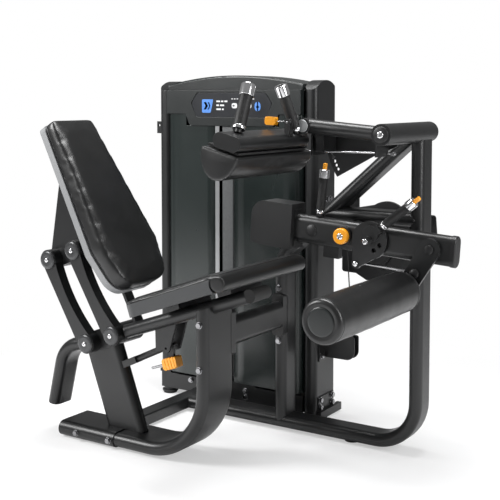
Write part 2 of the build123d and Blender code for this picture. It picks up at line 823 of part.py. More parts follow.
with BuildPart() as right_column:
    add(column_shape(right_column_x, right_foot_z))
    add(column_shape(right_column_x, right_foot_z, column_wall), mode=Mode.SUBTRACT)
    add(block((right_column_x - 1, cable_y - 12, low_run_z - 14), (tower_right_x + 1, cable_y + 12, low_run_z + 14)),
        mode=Mode.SUBTRACT)
save(right_column.part, "right_column")

with BuildPart() as tower_cap:
    with BuildSketch(side_plane(0, 0, tower_front_y - 6)):
        with BuildLine():
            Polyline(
                (inner_left_x, cap_side_z),
                (inner_left_x, cap_low_z),
                (inner_right_x, cap_low_z),
                (inner_right_x, cap_side_z),
            )
            ThreePointArc(
                (inner_right_x, cap_side_z),
                ((inner_left_x + inner_right_x) / 2, cap_peak_z),
                (inner_left_x, cap_side_z),
            )
        make_face()
    extrude(amount=-tower_depth)
    fillet(tower_cap.edges().filter_by(GeomType.CIRCLE), 8)
    with BuildSketch(Plane.XY.offset(cap_low_z)):
        with Locations(((inner_left_x + inner_right_x) / 2, tower_front_y - 6 + tower_depth / 2)):
            Rectangle(inner_right_x - inner_left_x - 2 * panel_t, tower_depth - 2 * panel_t)
    extrude(amount=(cap_side_z - cap_low_z) * 0.8, mode=Mode.SUBTRACT)
save(tower_cap.part, "tower_cap")


def front_panel(left_x, right_x, left_round, right_round):
    """A front shroud: a bowed sheet whose rounded sides run back to the columns."""
    near = tower_front_y - panel_proud
    back = tower_front_y + 30
    with BuildPart() as panel:
        with BuildSketch(Plane.XY.offset(panel_low_z)) as section:
            with BuildLine():
                Polyline((left_x, back), (left_x, near), (right_x, near), (right_x, back), close=True)
            make_face()
            front_corners = section.vertices().group_by(Axis.Y)[0].sort_by(Axis.X)
            fillet(front_corners[0], left_round)
            fillet(section.vertices().group_by(Axis.Y)[0].sort_by(Axis.X)[-1], right_round)
            offset(amount=-panel_t, mode=Mode.SUBTRACT)
            with BuildLine():
                Polyline(
                    (left_x + panel_t, back),
                    (left_x + panel_t, back - 2 * panel_t),
                    (right_x - panel_t, back - 2 * panel_t),
                    (right_x - panel_t, back),
                    close=True,
                )
            make_face(mode=Mode.SUBTRACT)
        extrude(amount=cover_low_z - gap - panel_low_z)
    return panel.part


with BuildPart() as left_panel:
    add(front_panel(inner_left_x + gap, slot_left_x, 30, 8))
    add(upright_plate(
        [(slot_left_x - 160, cover_drop_z - gap), (slot_left_x - 160, cover_low_z), (slot_left_x + 1, cover_low_z),
         (slot_left_x + 1, cover_drop_z - gap)], tower_front_y - panel_proud - 1, 80), mode=Mode.SUBTRACT)
save(left_panel.part, "left_panel")

with BuildPart() as right_panel:
    add(front_panel(slot_right_x, inner_right_x - gap, 8, 30))
    add(upright_plate(
        [(slot_right_x - 1, cover_drop_z - gap), (slot_right_x - 1, cover_low_z), (slot_right_x + 230, cover_low_z),
         (slot_right_x + 230, cover_drop_z - gap)], tower_front_y - panel_proud - 1, 80), mode=Mode.SUBTRACT)
save(right_panel.part, "right_panel")

cover_near_y = tower_front_y - panel_proud - 6
cover_left = slot_left_x - 160
cover_right = slot_right_x + 230
with BuildPart() as placard_cover:
    with BuildSketch(side_plane(0, 0, cover_near_y)) as cover_face:
        with BuildLine():
            Polyline(
                (inner_left_x + gap, cap_low_z - gap),
                (inner_left_x + gap, cover_low_z),
                (cover_left, cover_low_z),
                (cover_left + 22, cover_drop_z),
                (cover_right - 22, cover_drop_z),
                (cover_right, cover_low_z),
                (inner_right_x - gap, cover_low_z),
                (inner_right_x - gap, cap_low_z - gap),
                close=True,
            )
        make_face()
        fillet(cover_face.vertices().group_by(Axis.Y)[0], 16)
    extrude(amount=-30)
    placard_outline = [
        (cover_left + 30, cap_low_z - 56),
        (cover_left + 62, cap_low_z - 10),
        (cover_right - 62, cap_low_z - 10),
        (cover_right - 30, cap_low_z - 56),
        (cover_right - 58, cover_low_z - 14),
        (cover_left + 58, cover_low_z - 14),
    ]
    add(upright_plate(placard_outline, cover_near_y, 3, 14), mode=Mode.SUBTRACT)
    add(upright_plate(
        [(inner_left_x + 10, cap_low_z - 8), (inner_left_x + 10, cover_low_z + 8),
         (inner_right_x - 10, cover_low_z + 8), (inner_right_x - 10, cap_low_z - 8)],
        cover_near_y + 8, 40), mode=Mode.SUBTRACT)
save(placard_cover.part, "placard_cover")

with BuildPart() as rear_panel:
    add(block((inner_left_x + gap, tower_far_y - 20, panel_low_z), (inner_right_x - gap, tower_far_y - 16, cap_low_z - gap)))
save(rear_panel.part, "rear_panel")

# ---------------------------------------------------------------- tower base, feet and stack carrier
stack_near_y = cable_y - plate_y / 2
stack_far_y = cable_y + plate_y / 2
plate_left_x = stack_x - plate_x / 2
plate_right_x = stack_x + plate_x / 2
rod_places = [stack_x - rod_pitch / 2, stack_x + rod_pitch / 2]
carrier_low_z = base_rail_z + base_rail_h
with BuildPart() as tower_base:
    for rail_near_y in (tower_front_y, tower_far_y - base_rail_w):
        add(block((tower_left_x + 8, rail_near_y, base_rail_z), (right_column_x, rail_near_y + base_rail_w, carrier_low_z)))
    add(block((tower_left_x, tower_front_y, carrier_low_z), (inner_left_x, tower_far_y, left_foot_top)))
    add(block((plate_left_x, tower_front_y, carrier_low_z), (plate_right_x, tower_far_y, stack_foot_z - buffer_h)))
    for foot_y in (tower_front_y + 28, tower_far_y - 28):
        with BuildSketch(Plane.XY.offset(foot_h)):
            with Locations((tower_left_x + 36, foot_y)):
                Circle(36)
        extrude(amount=8)
        with BuildSketch(Plane.XY.offset(foot_h)):
            with Locations((tower_left_x + 36, foot_y)):
                Circle(27.5)
        extrude(amount=carrier_low_z - foot_h)
    add(block((right_column_x, tower_front_y, foot_h), (tower_right_x + 20, tower_far_y + 18, right_foot_z)))
    add(block((tower_right_x, tower_front_y + 20, foot_h), (tower_right_x + 20, tower_far_y + 18, 40)))
    add(block((tower_right_x, tower_front_y + 24, 40), (tower_right_x + 4, tower_far_y - 24, 98)))
    add(left_column.part, mode=Mode.SUBTRACT)
save(tower_base.part, "tower_base")

with BuildPart() as pulley_frames:
    crossbar_y = cable_y - 20
    add(block((inner_left_x, crossbar_y, rod_top_z), (inner_right_x, crossbar_y + 40, rod_top_z + 18)))
    top_pulley_a = (stack_x + wrap_r, top_pulley_z)
    top_pulley_b = (inner_pulley_x - 2 * wrap_r, top_pulley_z)
    for cheek_y in (cable_y - pulley_t / 2 - 1 - cheek_t, cable_y + pulley_t / 2 + 1):
        for pulley_at in (top_pulley_a, top_pulley_b):
            add(block((pulley_at[0] - 18, cheek_y, rod_top_z + 18), (pulley_at[0] + 18, cheek_y + cheek_t, top_pulley_z + 16)))
        add(block((inner_pulley_x - 16, cheek_y, low_pulley_z - 16), (right_column_x, cheek_y + cheek_t, low_pulley_z + 16)))
    for pulley_at in (top_pulley_a, top_pulley_b, (inner_pulley_x, low_pulley_z)):
        add(barrel(pulley_at, cable_y - pulley_t / 2 - 1 - cheek_t, cable_y + pulley_t / 2 + 1 + cheek_t, pulley_axle_d))
    for drop_x in (stack_x, top_pulley_b[0] + wrap_r):
        add(bar((drop_x, cable_y, rod_top_z - 10), (drop_x, cable_y, rod_top_z + 40), 16), mode=Mode.SUBTRACT)
    add(block((tower_right_x, cable_y - 62, low_pulley_z - 80), (tower_right_x + 6, cable_y + 62, low_pulley_z + 42)))
    add(block((tower_right_x - 1, cable_y - 12, low_run_z - 14), (tower_right_x + 7, cable_y + 12, low_run_z + 14)),
        mode=Mode.SUBTRACT)
    for cheek_y in (cable_y - pulley_t / 2 - 8 - cheek_t, cable_y + pulley_t / 2 + 8):
        with BuildSketch(side_plane(tower_right_x + 6, low_pulley_z - 67, cheek_y)) as cheek_face:
            with Locations((70, 50)):
                Rectangle(140, 100)
            fillet(cheek_face.vertices().group_by(Axis.X)[-1].sort_by(Axis.Y)[0], 36)
            fillet(cheek_face.vertices().group_by(Axis.X)[-1].sort_by(Axis.Y)[-1], 10)
        extrude(amount=-cheek_t)
    add(barrel((lower_pulley_x, low_pulley_z), cable_y - pulley_t / 2 - 8, cable_y + pulley_t / 2 + 8, pulley_axle_d))
    for side in (-1, 1):
        spacer_near = cable_y + side * (pulley_t / 2 + 1)
        spacer_far = cable_y + side * (pulley_t / 2 + 8)
        add(barrel((lower_pulley_x, low_pulley_z), min(spacer_near, spacer_far), max(spacer_near, spacer_far), 22))
save(pulley_frames.part, "pulley_frames")

# ---------------------------------------------------------------- weight stack
def weight_plate(low_z):
    """One plate of the stack with its rod holes, its centre hole and the pin hole in its front."""
    with BuildPart() as plate:
        with BuildSketch(Plane.XY.offset(low_z)):
            with Locations((stack_x, cable_y)):
                RectangleRounded(plate_x, plate_y, 6)
            with Locations(*[(rod_x, cable_y) for rod_x in rod_places]):
                Circle(rod_d / 2 + rod_hole_gap, mode=Mode.SUBTRACT)
            with Locations((stack_x, cable_y)):
                Circle(selector_d / 2 + gap, mode=Mode.SUBTRACT)
        extrude(amount=plate_pitch - plate_gap)
        with BuildSketch(side_plane(stack_x, low_z + plate_pitch / 2, stack_near_y)):
            Circle(pin_d / 4 + gap)
        extrude(amount=-plate_y / 2, mode=Mode.SUBTRACT)
    return plate.part


resting_count = plate_count - lifted_count
stack_top_z = stack_foot_z + plate_count * plate_pitch
lifted_z = stack_foot_z + resting_count * plate_pitch
with BuildPart() as resting_plates:
    for number in range(resting_count):
        add(weight_plate(stack_foot_z + number * plate_pitch))
save(resting_plates.part, "resting_plates")

with BuildPart() as lifted_plates:
    for number in range(resting_count, plate_count):
        add(weight_plate(stack_foot_z + number * plate_pitch))
    with BuildSketch(Plane.XY.offset(stack_top_z)):
        with Locations((stack_x, cable_y)):
            RectangleRounded(rod_pitch + 60, plate_y - 30, 8)
        with Locations(*[(rod_x, cable_y) for rod_x in rod_places]):
            Circle(rod_d / 2 + rod_hole_gap, mode=Mode.SUBTRACT)
    extrude(amount=head_h)
    with BuildSketch(Plane.XY.offset(stack_foot_z + plate_pitch)):
        with Locations((stack_x, cable_y)):
            Circle(selector_d / 2)
    extrude(amount=stack_top_z - stack_foot_z - plate_pitch)
    with BuildSketch(Plane.XY.offset(stack_top_z + head_h)):
        with Locations((stack_x, cable_y)):
            Circle(11)
    extrude(amount=22)
    for number in range(plate_count):
        pin_z = stack_foot_z + (number + 0.5) * plate_pitch
        with BuildSketch(side_plane(stack_x, pin_z, stack_near_y)):
            Circle(pin_d / 4 + gap)
        extrude(amount=-plate_y / 2 - selector_d, mode=Mode.SUBTRACT)
save(lifted_plates.part, "lifted_plates")

with BuildPart() as selector_pin:
    with BuildSketch(side_plane(stack_x, lifted_z + plate_pitch / 2, stack_near_y + plate_y / 2 + 8)):
        Circle(pin_d / 4)
    extrude(amount=plate_y / 2 + 9)
    with BuildSketch(side_plane(stack_x, lifted_z + plate_pitch / 2, stack_near_y - gap)):
        Circle(11)
    extrude(amount=26)
    fillet(selector_pin.edges().group_by(Axis.Y)[0], 4)
save(selector_pin.part, "selector_pin")

with BuildPart() as guide_rods:
    for rod_x in rod_places:
        add(bar((rod_x, cable_y, stack_foot_z - buffer_h), (rod_x, cable_y, rod_top_z), rod_d))
save(guide_rods.part, "guide_rods")

# ---------------------------------------------------------------- pulleys and the cable
def pulley(centre):
    """A grooved pulley about the centre (x, z)."""
    groove_r = pulley_r + 0.2
    with BuildPart() as wheel:
        add(barrel(centre, cable_y - pulley_t / 2, cable_y + pulley_t / 2, 2 * pulley_r + 12, pulley_axle_d + 2 * pin_gap))
        with BuildSketch(Plane(origin=(centre[0], cable_y, centre[1]), x_dir=(1, 0, 0), z_dir=(0, 0, 1))):
            with BuildLine():
                Polyline(
                    (groove_r - 0.5, -cable_d / 2 - 0.3),
                    (pulley_r + 8, -pulley_t / 2 + 2),
                    (pulley_r + 8, pulley_t / 2 - 2),
                    (groove_r - 0.5, cable_d / 2 + 0.3),
                    close=True,
                )
            make_face()
        revolve(axis=Axis((centre[0], cable_y, centre[1]), (0, 1, 0)), mode=Mode.SUBTRACT)
    return wheel.part


pulley_places = {
    "top_pulley_stack": top_pulley_a,
    "top_pulley_side": top_pulley_b,
    "inner_pulley": (inner_pulley_x, low_pulley_z),
    "lower_pulley": (lower_pulley_x, low_pulley_z),
}
for pulley_name, pulley_at in pulley_places.items():
    with BuildPart() as pulley_wheel:
        add(pulley(pulley_at))
    save(pulley_wheel.part, pulley_name)

across = hypot(knee_x - lower_pulley_x, knee_z - low_pulley_z)
toward_pulley = degrees(atan2(low_pulley_z - knee_z, lower_pulley_x - knee_x)) % 360
normal_turn = toward_pulley - degrees(atan2((across ** 2 - (cam_wrap_r + wrap_r) ** 2) ** 0.5, cam_wrap_r + wrap_r))
cam_touch = turned(knee_x, knee_z, cam_wrap_r, normal_turn)
pulley_touch = turned(lower_pulley_x, low_pulley_z, wrap_r, normal_turn + 180)
corner_x = pulley_touch[0] + (low_run_z - pulley_touch[1]) * (cam_touch[0] - pulley_touch[0]) / (cam_touch[1] - pulley_touch[1])
half_wrap = (normal_turn - cam_start) / 2
wrap_corner = turned(*cam_touch, cam_wrap_r * tan(radians(half_wrap)), normal_turn - 90)
wrap_end = turned(*wrap_corner, cam_wrap_r * tan(radians(half_wrap)) + 1, cam_start - 90)
cable_route = [
    (stack_x, top_pulley_z - 2),
    (stack_x, top_pulley_z + wrap_r),
    (top_pulley_b[0] + wrap_r, top_pulley_z + wrap_r),
    (top_pulley_b[0] + wrap_r, low_run_z),
    (corner_x, low_run_z),
    wrap_corner,
    wrap_end,
]
with BuildPart() as machine_cable:
    with BuildLine():
        FilletPolyline(
            *[(x, cable_y, z) for x, z in cable_route],
            radius=[wrap_r, wrap_r, wrap_r, wrap_r, cam_wrap_r],
        )
    with BuildSketch(Plane(origin=(stack_x, cable_y, top_pulley_z - 2), z_dir=(0, 0, 1))):
        Circle(cable_d / 2)
    sweep()
save(machine_cable.part, "machine_cable")

hook_top_z = stack_top_z + head_h + 22
with BuildPart() as stack_cable:
    add(bar((stack_x, cable_y, hook_top_z), (stack_x, cable_y, top_pulley_z - 2), cable_d))
save(stack_cable.part, "stack_cable")

with BuildPart() as cable_guard:
    guard_near_y = cable_y + cam_t / 2 + 8
    guard_outline = [
        (knee_x - 213, 971),
        (knee_x - 135, 971),
        (knee_x - 135, 890),
        (knee_x + 200, 885),
        (knee_x + 207, 800),
        (knee_x + 120, 640),
        (knee_x - 99, 598),
        (knee_x - 149, 624),
        (knee_x - 213, 626),
    ]
    add(upright_plate(guard_outline, guard_near_y, 4, 12))
    add(barrel((knee_x, knee_z), guard_near_y, guard_near_y + 4, 2 * axle_d), mode=Mode.SUBTRACT)
    for stay_x, stay_z in ((knee_x - 204, knee_z + 10), (knee_x + 150, beam_z - 16)):
        add(block((stay_x - 8, rail_y, stay_z - 5), (stay_x + 8, guard_near_y, stay_z + 5)))
    add(center_solid, mode=Mode.SUBTRACT)
    add(oval_tube([(beam_left_x, rail_y, beam_z), (main_upright_x, rail_y, beam_z)], rail_w, wall=0), mode=Mode.SUBTRACT)
save(cable_guard.part, "cable_guard")

# ---------------------------------------------------------------- lever on the knee axis
disc_at = on_lever(disc_s)
link_at = on_lever(link_s)
lever_face = side_plane(knee_x, knee_z, lever_near_y, -lever_slope)
bush_d = 2 * pin_d
with BuildPart() as lever_beam:
    lever_ends = [on_lever(-lever_left), on_lever(lever_right)]
    add(oval_tube([(x, lever_y, z) for x, z in lever_ends], lever_h, side=(sin(radians(lever_slope)), 0, cos(radians(lever_slope)))))
    with BuildSketch(lever_face.offset(-tube_wall)):
        with Locations((0, 0), (disc_s, 0), (link_s, 0)):
            Circle(bush_d / 2)
    extrude(amount=2 * tube_wall - tube_t)
    with BuildSketch(lever_face):
        with Locations((blank_cap_s, 0)):
            Circle(blank_cap_d / 2)
    extrude(amount=1.5)
    with BuildSketch(lever_face):
        Circle(knee_ring_d / 2)
    extrude(amount=10)
    with BuildSketch(lever_face.offset(-tube_t)):
        Circle(collar_d / 2)
    extrude(amount=lever_far_y + gap - bearing_near_y)
    with BuildSketch(side_plane(*on_lever(-52, -lever_h / 2 - 16), lever_y - 16, -lever_slope)):
        Rectangle(64, 44)
    extrude(amount=-32)
    for bore_s, bore_d in ((0, axle_d), (disc_s, pin_d + 2 * pin_gap), (link_s, pin_d + 2 * pin_gap)):
        add(barrel(on_lever(bore_s), lever_near_y - 20, bearing_near_y, bore_d), mode=Mode.SUBTRACT)
save(lever_beam.part, "lever_beam")

with BuildPart() as lever_end_cap:
    with BuildSketch(Plane(origin=(lever_ends[1][0], lever_y, lever_ends[1][1]), x_dir=(0, 1, 0),
                           z_dir=(cos(radians(lever_slope)), 0, -sin(radians(lever_slope))))):
        SlotOverall(lever_h + 4, tube_t + 4, rotation=90)
    extrude(amount=end_cap_t)
    fillet(lever_end_cap.edges().group_by(Axis.X)[-1], 5)
save(lever_end_cap.part, "lever_end_cap")

with BuildPart() as counterweight:
    with BuildSketch(side_plane(knee_x, knee_z, weight_near_y, -lever_slope)) as weight_face:
        with BuildLine():
            Polyline(
                (-weight_left, weight_low + 8),
                (-weight_left, weight_high),
                (-lever_left - 4, weight_high),
                (-lever_left - 4, weight_low),
                (-weight_left + 60, weight_low),
                close=True,
            )
        make_face()
        fillet(weight_face.vertices().sort_by(Axis.Y)[-2:].sort_by(Axis.X)[0], weight_corner)
    extrude(amount=-weight_t)
    fillet(counterweight.edges().filter_by(Axis.Y).sort_by(Axis.X)[:1], 6)
    flange_x, flange_z = on_lever(-lever_left - 4)
    with BuildSketch(side_plane(flange_x, flange_z, lever_near_y, -lever_slope)):
        with Locations((2, 0)):
            Rectangle(4, lever_h + 30)
    extrude(amount=-tube_t)
save(counterweight.part, "counterweight")

with BuildPart() as knee_axle:
    add(barrel((knee_x, knee_z), lever_near_y - 8, cable_y + cam_t / 2 + 12, axle_d))
save(knee_axle.part, "knee_axle")

with BuildPart() as knee_cap:
    with BuildSketch(side_plane(knee_x, knee_z, lever_near_y - 10)):
        Circle(knee_cap_d / 2)
    extrude(amount=knee_cap_t)
    fillet(knee_cap.edges().group_by(Axis.Y)[0], 5)
save(knee_cap.part, "knee_cap")

with BuildPart() as cable_cam:
    with BuildSketch(side_plane(knee_x, knee_z, cable_y - cam_t / 2)):
        Circle(cam_disc_r)
        with BuildLine():
            lobe_start = turned(0, 0, cam_r + 6, cam_start - 6)
            lobe_end = turned(0, 0, cam_r + 6, cam_end)
            lobe_middle = turned(0, 0, cam_r + 6, (cam_start + cam_end) / 2)
            ThreePointArc(lobe_start, lobe_middle, lobe_end)
            Polyline(lobe_end, (cam_disc_r - 30, -cam_disc_r + 40), (-20, cam_disc_r - 10), lobe_start)
        make_face()
        Circle(axle_d / 2, mode=Mode.SUBTRACT)
    extrude(amount=-cam_t)
    with BuildSketch(Plane(origin=(knee_x, cable_y, knee_z), x_dir=(-1, 0, 0), z_dir=(0, 0, -1))):
        with BuildLine():
            groove_half = cable_d / 2 + 0.3
            Polyline(
                (cam_r - 0.2, -groove_half),
                (cam_r + 8, -groove_half - 2),
                (cam_r + 8, groove_half + 2),
                (cam_r - 0.2, groove_half),
                close=True,
            )
        make_face()
    revolve(axis=Axis((knee_x, cable_y, knee_z), (0, 1, 0)), mode=Mode.SUBTRACT)
    with BuildSketch(side_plane(knee_x, knee_z, bearing_far_y + gap)):
        Circle(cam_hub_d / 2)
        Circle(axle_d / 2, mode=Mode.SUBTRACT)
    extrude(amount=bearing_far_y + gap - cable_y + cam_t / 2)
save(cable_cam.part, "cable_cam")


def handle_ends(foot, y, length, turn):
    """The two ends of a handle in the lever's plane."""
    tip = turned(*foot, length, turn)
    return (foot[0], y, foot[1]), (tip[0], y, tip[1])


lever_handle_ends = handle_ends(
    on_lever(lever_handle_s, lever_h / 2), lever_y, lever_handle_len, 90 - lever_slope + lever_handle_lean)
with BuildPart() as lever_handle:
    add(grip_handle(*lever_handle_ends, bored=True))
    add(oval_tube([(x, lever_y, z) for x, z in lever_ends], lever_h, wall=0,
                  side=(sin(radians(lever_slope)), 0, cos(radians(lever_slope)))), mode=Mode.SUBTRACT)
save(lever_handle.part, "lever_handle")

with BuildPart() as lever_button:
    add(push_button(*lever_handle_ends))
save(lever_button.part, "lever_button")

# ---------------------------------------------------------------- start adjuster: disc, rod, link and roller
disc_lug = turned(*disc_at, lug_r, lug_turn)
link_lug = turned(*link_at, lug_r, lug_turn)
roller_at = turned(*link_at, roller_arm_r, lug_turn)
rod_y = lever_near_y + 12
adjust_handle_foot = turned(*disc_at, disc_r - 6, adjust_handle_turn + 6)
adjust_handle_y = adjust_near_y - grip_d / 2 - 3
adjust_handle_ends = handle_ends(adjust_handle_foot, adjust_handle_y, adjust_handle_len, adjust_handle_turn)
with BuildPart() as adjust_disc:
    with BuildSketch(side_plane(*disc_at, adjust_near_y)):
        Circle(disc_r)
        with Locations(turned(0, 0, lug_r, lug_turn)):
            Circle(18)
        with BuildLine():
            Polyline(
                turned(0, 0, disc_r, lug_turn - 45),
                turned(0, 0, disc_r, lug_turn + 45),
                turned(*turned(0, 0, lug_r, lug_turn), 18, lug_turn + 90),
                turned(*turned(0, 0, lug_r, lug_turn), 18, lug_turn - 90),
                close=True,
            )
        make_face()
        with Locations(turned(0, 0, 40, -62), turned(0, 0, 44, -20)):
            Circle(9, mode=Mode.SUBTRACT)
    extrude(amount=-adjust_plate_t)
    with BuildSketch(side_plane(*disc_at, adjust_near_y)):
        with Locations(turned(0, 0, 26, 75)):
            Circle(disc_boss_d / 2)
    extrude(amount=8)
    with BuildSketch(side_plane(*disc_at, adjust_near_y)):
        Circle(pin_d * 0.8)
    extrude(amount=12)
    with BuildSketch(side_plane(*adjust_handle_foot, adjust_near_y, adjust_handle_turn)):
        Rectangle(2 * collar_len, grip_d)
    extrude(amount=grip_d + 3)
    with BuildSketch(side_plane(*disc_at, adjust_near_y + adjust_plate_t)):
        Circle(pin_d / 2)
    extrude(amount=adjust_near_y + adjust_plate_t - lever_far_y - 4)
    with BuildSketch(side_plane(*disc_lug, adjust_near_y - 6)):
        Circle(rod_pin_d / 2)
    extrude(amount=adjust_near_y - 6 - rod_y - adjust_rod_d)
save(adjust_disc.part, "adjust_disc")

with BuildPart() as adjust_handle:
    add(grip_handle(*adjust_handle_ends, bored=True))
    add(adjust_disc.part, mode=Mode.SUBTRACT)
save(adjust_handle.part, "adjust_handle")

with BuildPart() as adjust_button:
    add(push_button(*adjust_handle_ends))
save(adjust_button.part, "adjust_button")

with BuildPart() as adjust_rod:
    add(bar((disc_lug[0], rod_y, disc_lug[1]), (link_lug[0], rod_y, link_lug[1]), adjust_rod_d))
    for eye in (disc_lug, link_lug):
        add(barrel(eye, rod_y - adjust_rod_d, rod_y + adjust_rod_d - 1, 2 * rod_pin_d))
    add(barrel(disc_lug, rod_y - 20, rod_y + 20, rod_pin_d + 2 * pin_gap), mode=Mode.SUBTRACT)
    add(barrel(link_lug, rod_y - 20, rod_y + 20, rod_pin_d + 4 * gap), mode=Mode.SUBTRACT)
save(adjust_rod.part, "adjust_rod")

with BuildPart() as roller_link:
    with BuildSketch(side_plane(*link_at, adjust_near_y, lug_turn)):
        Circle(link_round_r)
        with Locations((roller_arm_r, 0)):
            Circle(link_round_r - 6)
        with BuildLine():
            Polyline(
                (0, link_round_r),
                (roller_arm_r, link_round_r - 6),
                (roller_arm_r, 6 - link_round_r),
                (0, -link_round_r),
                close=True,
            )
        make_face()
    extrude(amount=-adjust_plate_t)
    with BuildSketch(side_plane(*link_at, adjust_near_y)):
        Circle(pin_d * 0.7)
        with Locations(turned(0, 0, lug_r, lug_turn)):
            Circle(pin_d * 0.7)
    extrude(amount=3)
    with BuildSketch(side_plane(*link_at, adjust_near_y + adjust_plate_t)):
        Circle(pin_d / 2)
    extrude(amount=adjust_near_y + adjust_plate_t - lever_far_y - 4)
    with BuildSketch(side_plane(*link_lug, adjust_near_y + adjust_plate_t)):
        Circle(rod_pin_d / 2)
    extrude(amount=adjust_near_y + adjust_plate_t - rod_y - adjust_rod_d)
    add(barrel(roller_at, roller_near_y + 12, adjust_near_y, roller_axle_d))
save(roller_link.part, "roller_link")

with BuildPart() as ankle_roller:
    add(barrel(roller_at, roller_near_y, roller_far_y, 2 * roller_r))
    fillet(ankle_roller.edges().filter_by(GeomType.CIRCLE), 10)
    with BuildSketch(side_plane(*roller_at, roller_near_y)):
        Circle(0.6 * roller_r)
    extrude(amount=-6, mode=Mode.SUBTRACT)
    add(barrel(roller_at, roller_near_y + 12, roller_far_y + 1, roller_axle_d + 2 * pin_gap), mode=Mode.SUBTRACT)
save(ankle_roller.part, "ankle_roller")

# ---------------------------------------------------------------- thigh pad arm
carrier_side = (cos(radians(carrier_tilt)), 0, sin(radians(carrier_tilt)))
carrier_route = [(carrier_x, carrier_near_y, carrier_z), (carrier_x, carrier_far_y, carrier_z)]
carrier_solid = oval_tube(carrier_route, rail_w, wall=0, side=carrier_side)
hub_seat = barrel((hub_x, hub_z), hub_near_y, hub_seam_y, hub_d)
rod_line_z = hub_z - 70
pull_rod_y = arm_y + 85
pull_rod_d = 7.0
pull_rod_ends = (elbow_x - 62, hub_x - 6)


def on_carrier(along, up, y):
    """A point of the thigh pad carrier, across its width, up from its middle and at the given y."""
    x, z = turned(carrier_x, carrier_z, along, carrier_tilt)
    x, z = turned(x, z, up, 90 + carrier_tilt)
    return (x, y, z)


thigh_feet = [on_carrier(-14, tube_t / 2, -420), on_carrier(26, tube_t / 2, -92)]
thigh_tips = [(205, -340, 1392), (225, -165, 1391)]
release_foot = on_carrier(36, tube_t / 2, -168)
release_pin = (release_foot[0], release_foot[2] + 44)
with BuildPart() as thigh_arm:
    add(hub_seat)
    add(bar((hub_x, arm_y, hub_z), (elbow_x, arm_y, elbow_z), arm_d))
    add(barrel((elbow_x, elbow_z), arm_y - elbow_len / 2, arm_y + elbow_len / 2, arm_d + 2))
    add(bar((elbow_x, arm_y, elbow_z), (carrier_x + 14, arm_y, carrier_z + 11), arm_d))
    add(oval_tube(carrier_route, rail_w, wall=0, side=carrier_side))
    with BuildSketch(side_plane(carrier_x, carrier_z, carrier_near_y + 20, carrier_tilt)):
        with Locations((thigh_shift, -tube_t / 2 - board_t / 2)):
            Rectangle(thigh_w - 30, board_t)
    extrude(amount=20 + carrier_near_y - carrier_far_y)
    with BuildSketch(side_plane(carrier_x, carrier_z, carrier_near_y + tube_wall, carrier_tilt)):
        SlotOverall(rail_w - 2 * tube_wall, tube_t - 2 * tube_wall)
    extrude(amount=carrier_near_y - carrier_far_y + 70, mode=Mode.SUBTRACT)
    with BuildSketch(side_plane(hub_x, hub_z, hub_near_y)):
        Circle(hub_d / 2 - 9)
    extrude(amount=4)
    with BuildSketch(side_plane(hub_x, hub_z, hub_seam_y)):
        Circle(hub_shaft_d / 2)
    extrude(amount=hub_seam_y - hub_far_y + 6)
    for guide_x in (elbow_x + 22, hub_x - 34):
        add(block((guide_x - 3, arm_y, rod_line_z - 10), (guide_x + 3, pull_rod_y + 10, hub_z)))
    add(block((elbow_x + 38, arm_y, hub_z - 64), (elbow_x + 38 + latch_w, hub_seam_y - 8, hub_z + 4)))
    latch_at = turned(hub_x, hub_z, sector_r - 18, sector_start + 4)
    add(barrel(latch_at, arm_y, hub_seam_y - gap, sector_hole_d))
    for clevis_side in (-1, 1):
        clevis_y = release_foot[1] + clevis_side * 10
        add(block((release_foot[0] - 10, clevis_y - 3, release_foot[2] - 8),
                  (release_foot[0] + 10, clevis_y + 3, release_foot[2] + 54)))
    add(barrel(release_pin, release_foot[1] - 20, release_foot[1] + 20, rod_pin_d + 2 * pin_gap), mode=Mode.SUBTRACT)
    add(bar((elbow_x, pull_rod_y, rod_line_z), (hub_x, pull_rod_y, rod_line_z), pull_rod_d + 2 * gap), mode=Mode.SUBTRACT)
save(thigh_arm.part, "thigh_arm")

with BuildPart() as thigh_pad:
    with BuildSketch(side_plane(carrier_x, carrier_z, carrier_near_y - 4, carrier_tilt)) as pad_face:
        with Locations((thigh_shift, -tube_t / 2 - board_t)):
            Ellipse(thigh_w / 2, thigh_depth)
            with Locations((0, thigh_depth / 2)):
                Rectangle(2 * thigh_w, thigh_depth, mode=Mode.SUBTRACT)
        fillet(pad_face.vertices(), 9)
    extrude(amount=-thigh_len)
    fillet(thigh_pad.faces().filter_by(Axis.Y).edges(), 6)
save(thigh_pad.part, "thigh_pad")

with BuildPart() as thigh_handles:
    for foot, tip in zip(thigh_feet, thigh_tips):
        add(grip_handle(foot, tip))
    add(carrier_solid, mode=Mode.SUBTRACT)
    add(thigh_arm.part, mode=Mode.SUBTRACT)
save(thigh_handles.part, "thigh_handles")

with BuildPart() as thigh_release:
    add(barrel(release_pin, release_foot[1] - 15, release_foot[1] + 15, rod_pin_d))
    add(barrel(release_pin, release_foot[1] - 7 + gap, release_foot[1] + 7 - gap, 18))
    add(bar((release_pin[0], release_foot[1], release_pin[1]), (release_pin[0] - 50, release_foot[1], release_pin[1] + 2), 8))
    add(block((release_pin[0] - 102, release_foot[1] - 12, release_pin[1] - 12),
              (release_pin[0] - 42, release_foot[1] + 12, release_pin[1] + 20)))
    fillet(thigh_release.edges().filter_by(Axis.Y).sort_by(Axis.X)[:2], 9)
save(thigh_release.part, "thigh_release")

with BuildPart() as release_rod:
    rod_near, rod_far = pull_rod_ends
    add(bar((rod_near, pull_rod_y, rod_line_z), (rod_far, pull_rod_y, rod_line_z), pull_rod_d))
    for eye_x in pull_rod_ends:
        add(barrel((eye_x, rod_line_z), pull_rod_y - pull_rod_d, pull_rod_y + pull_rod_d, 16))
save(release_rod.part, "release_rod")

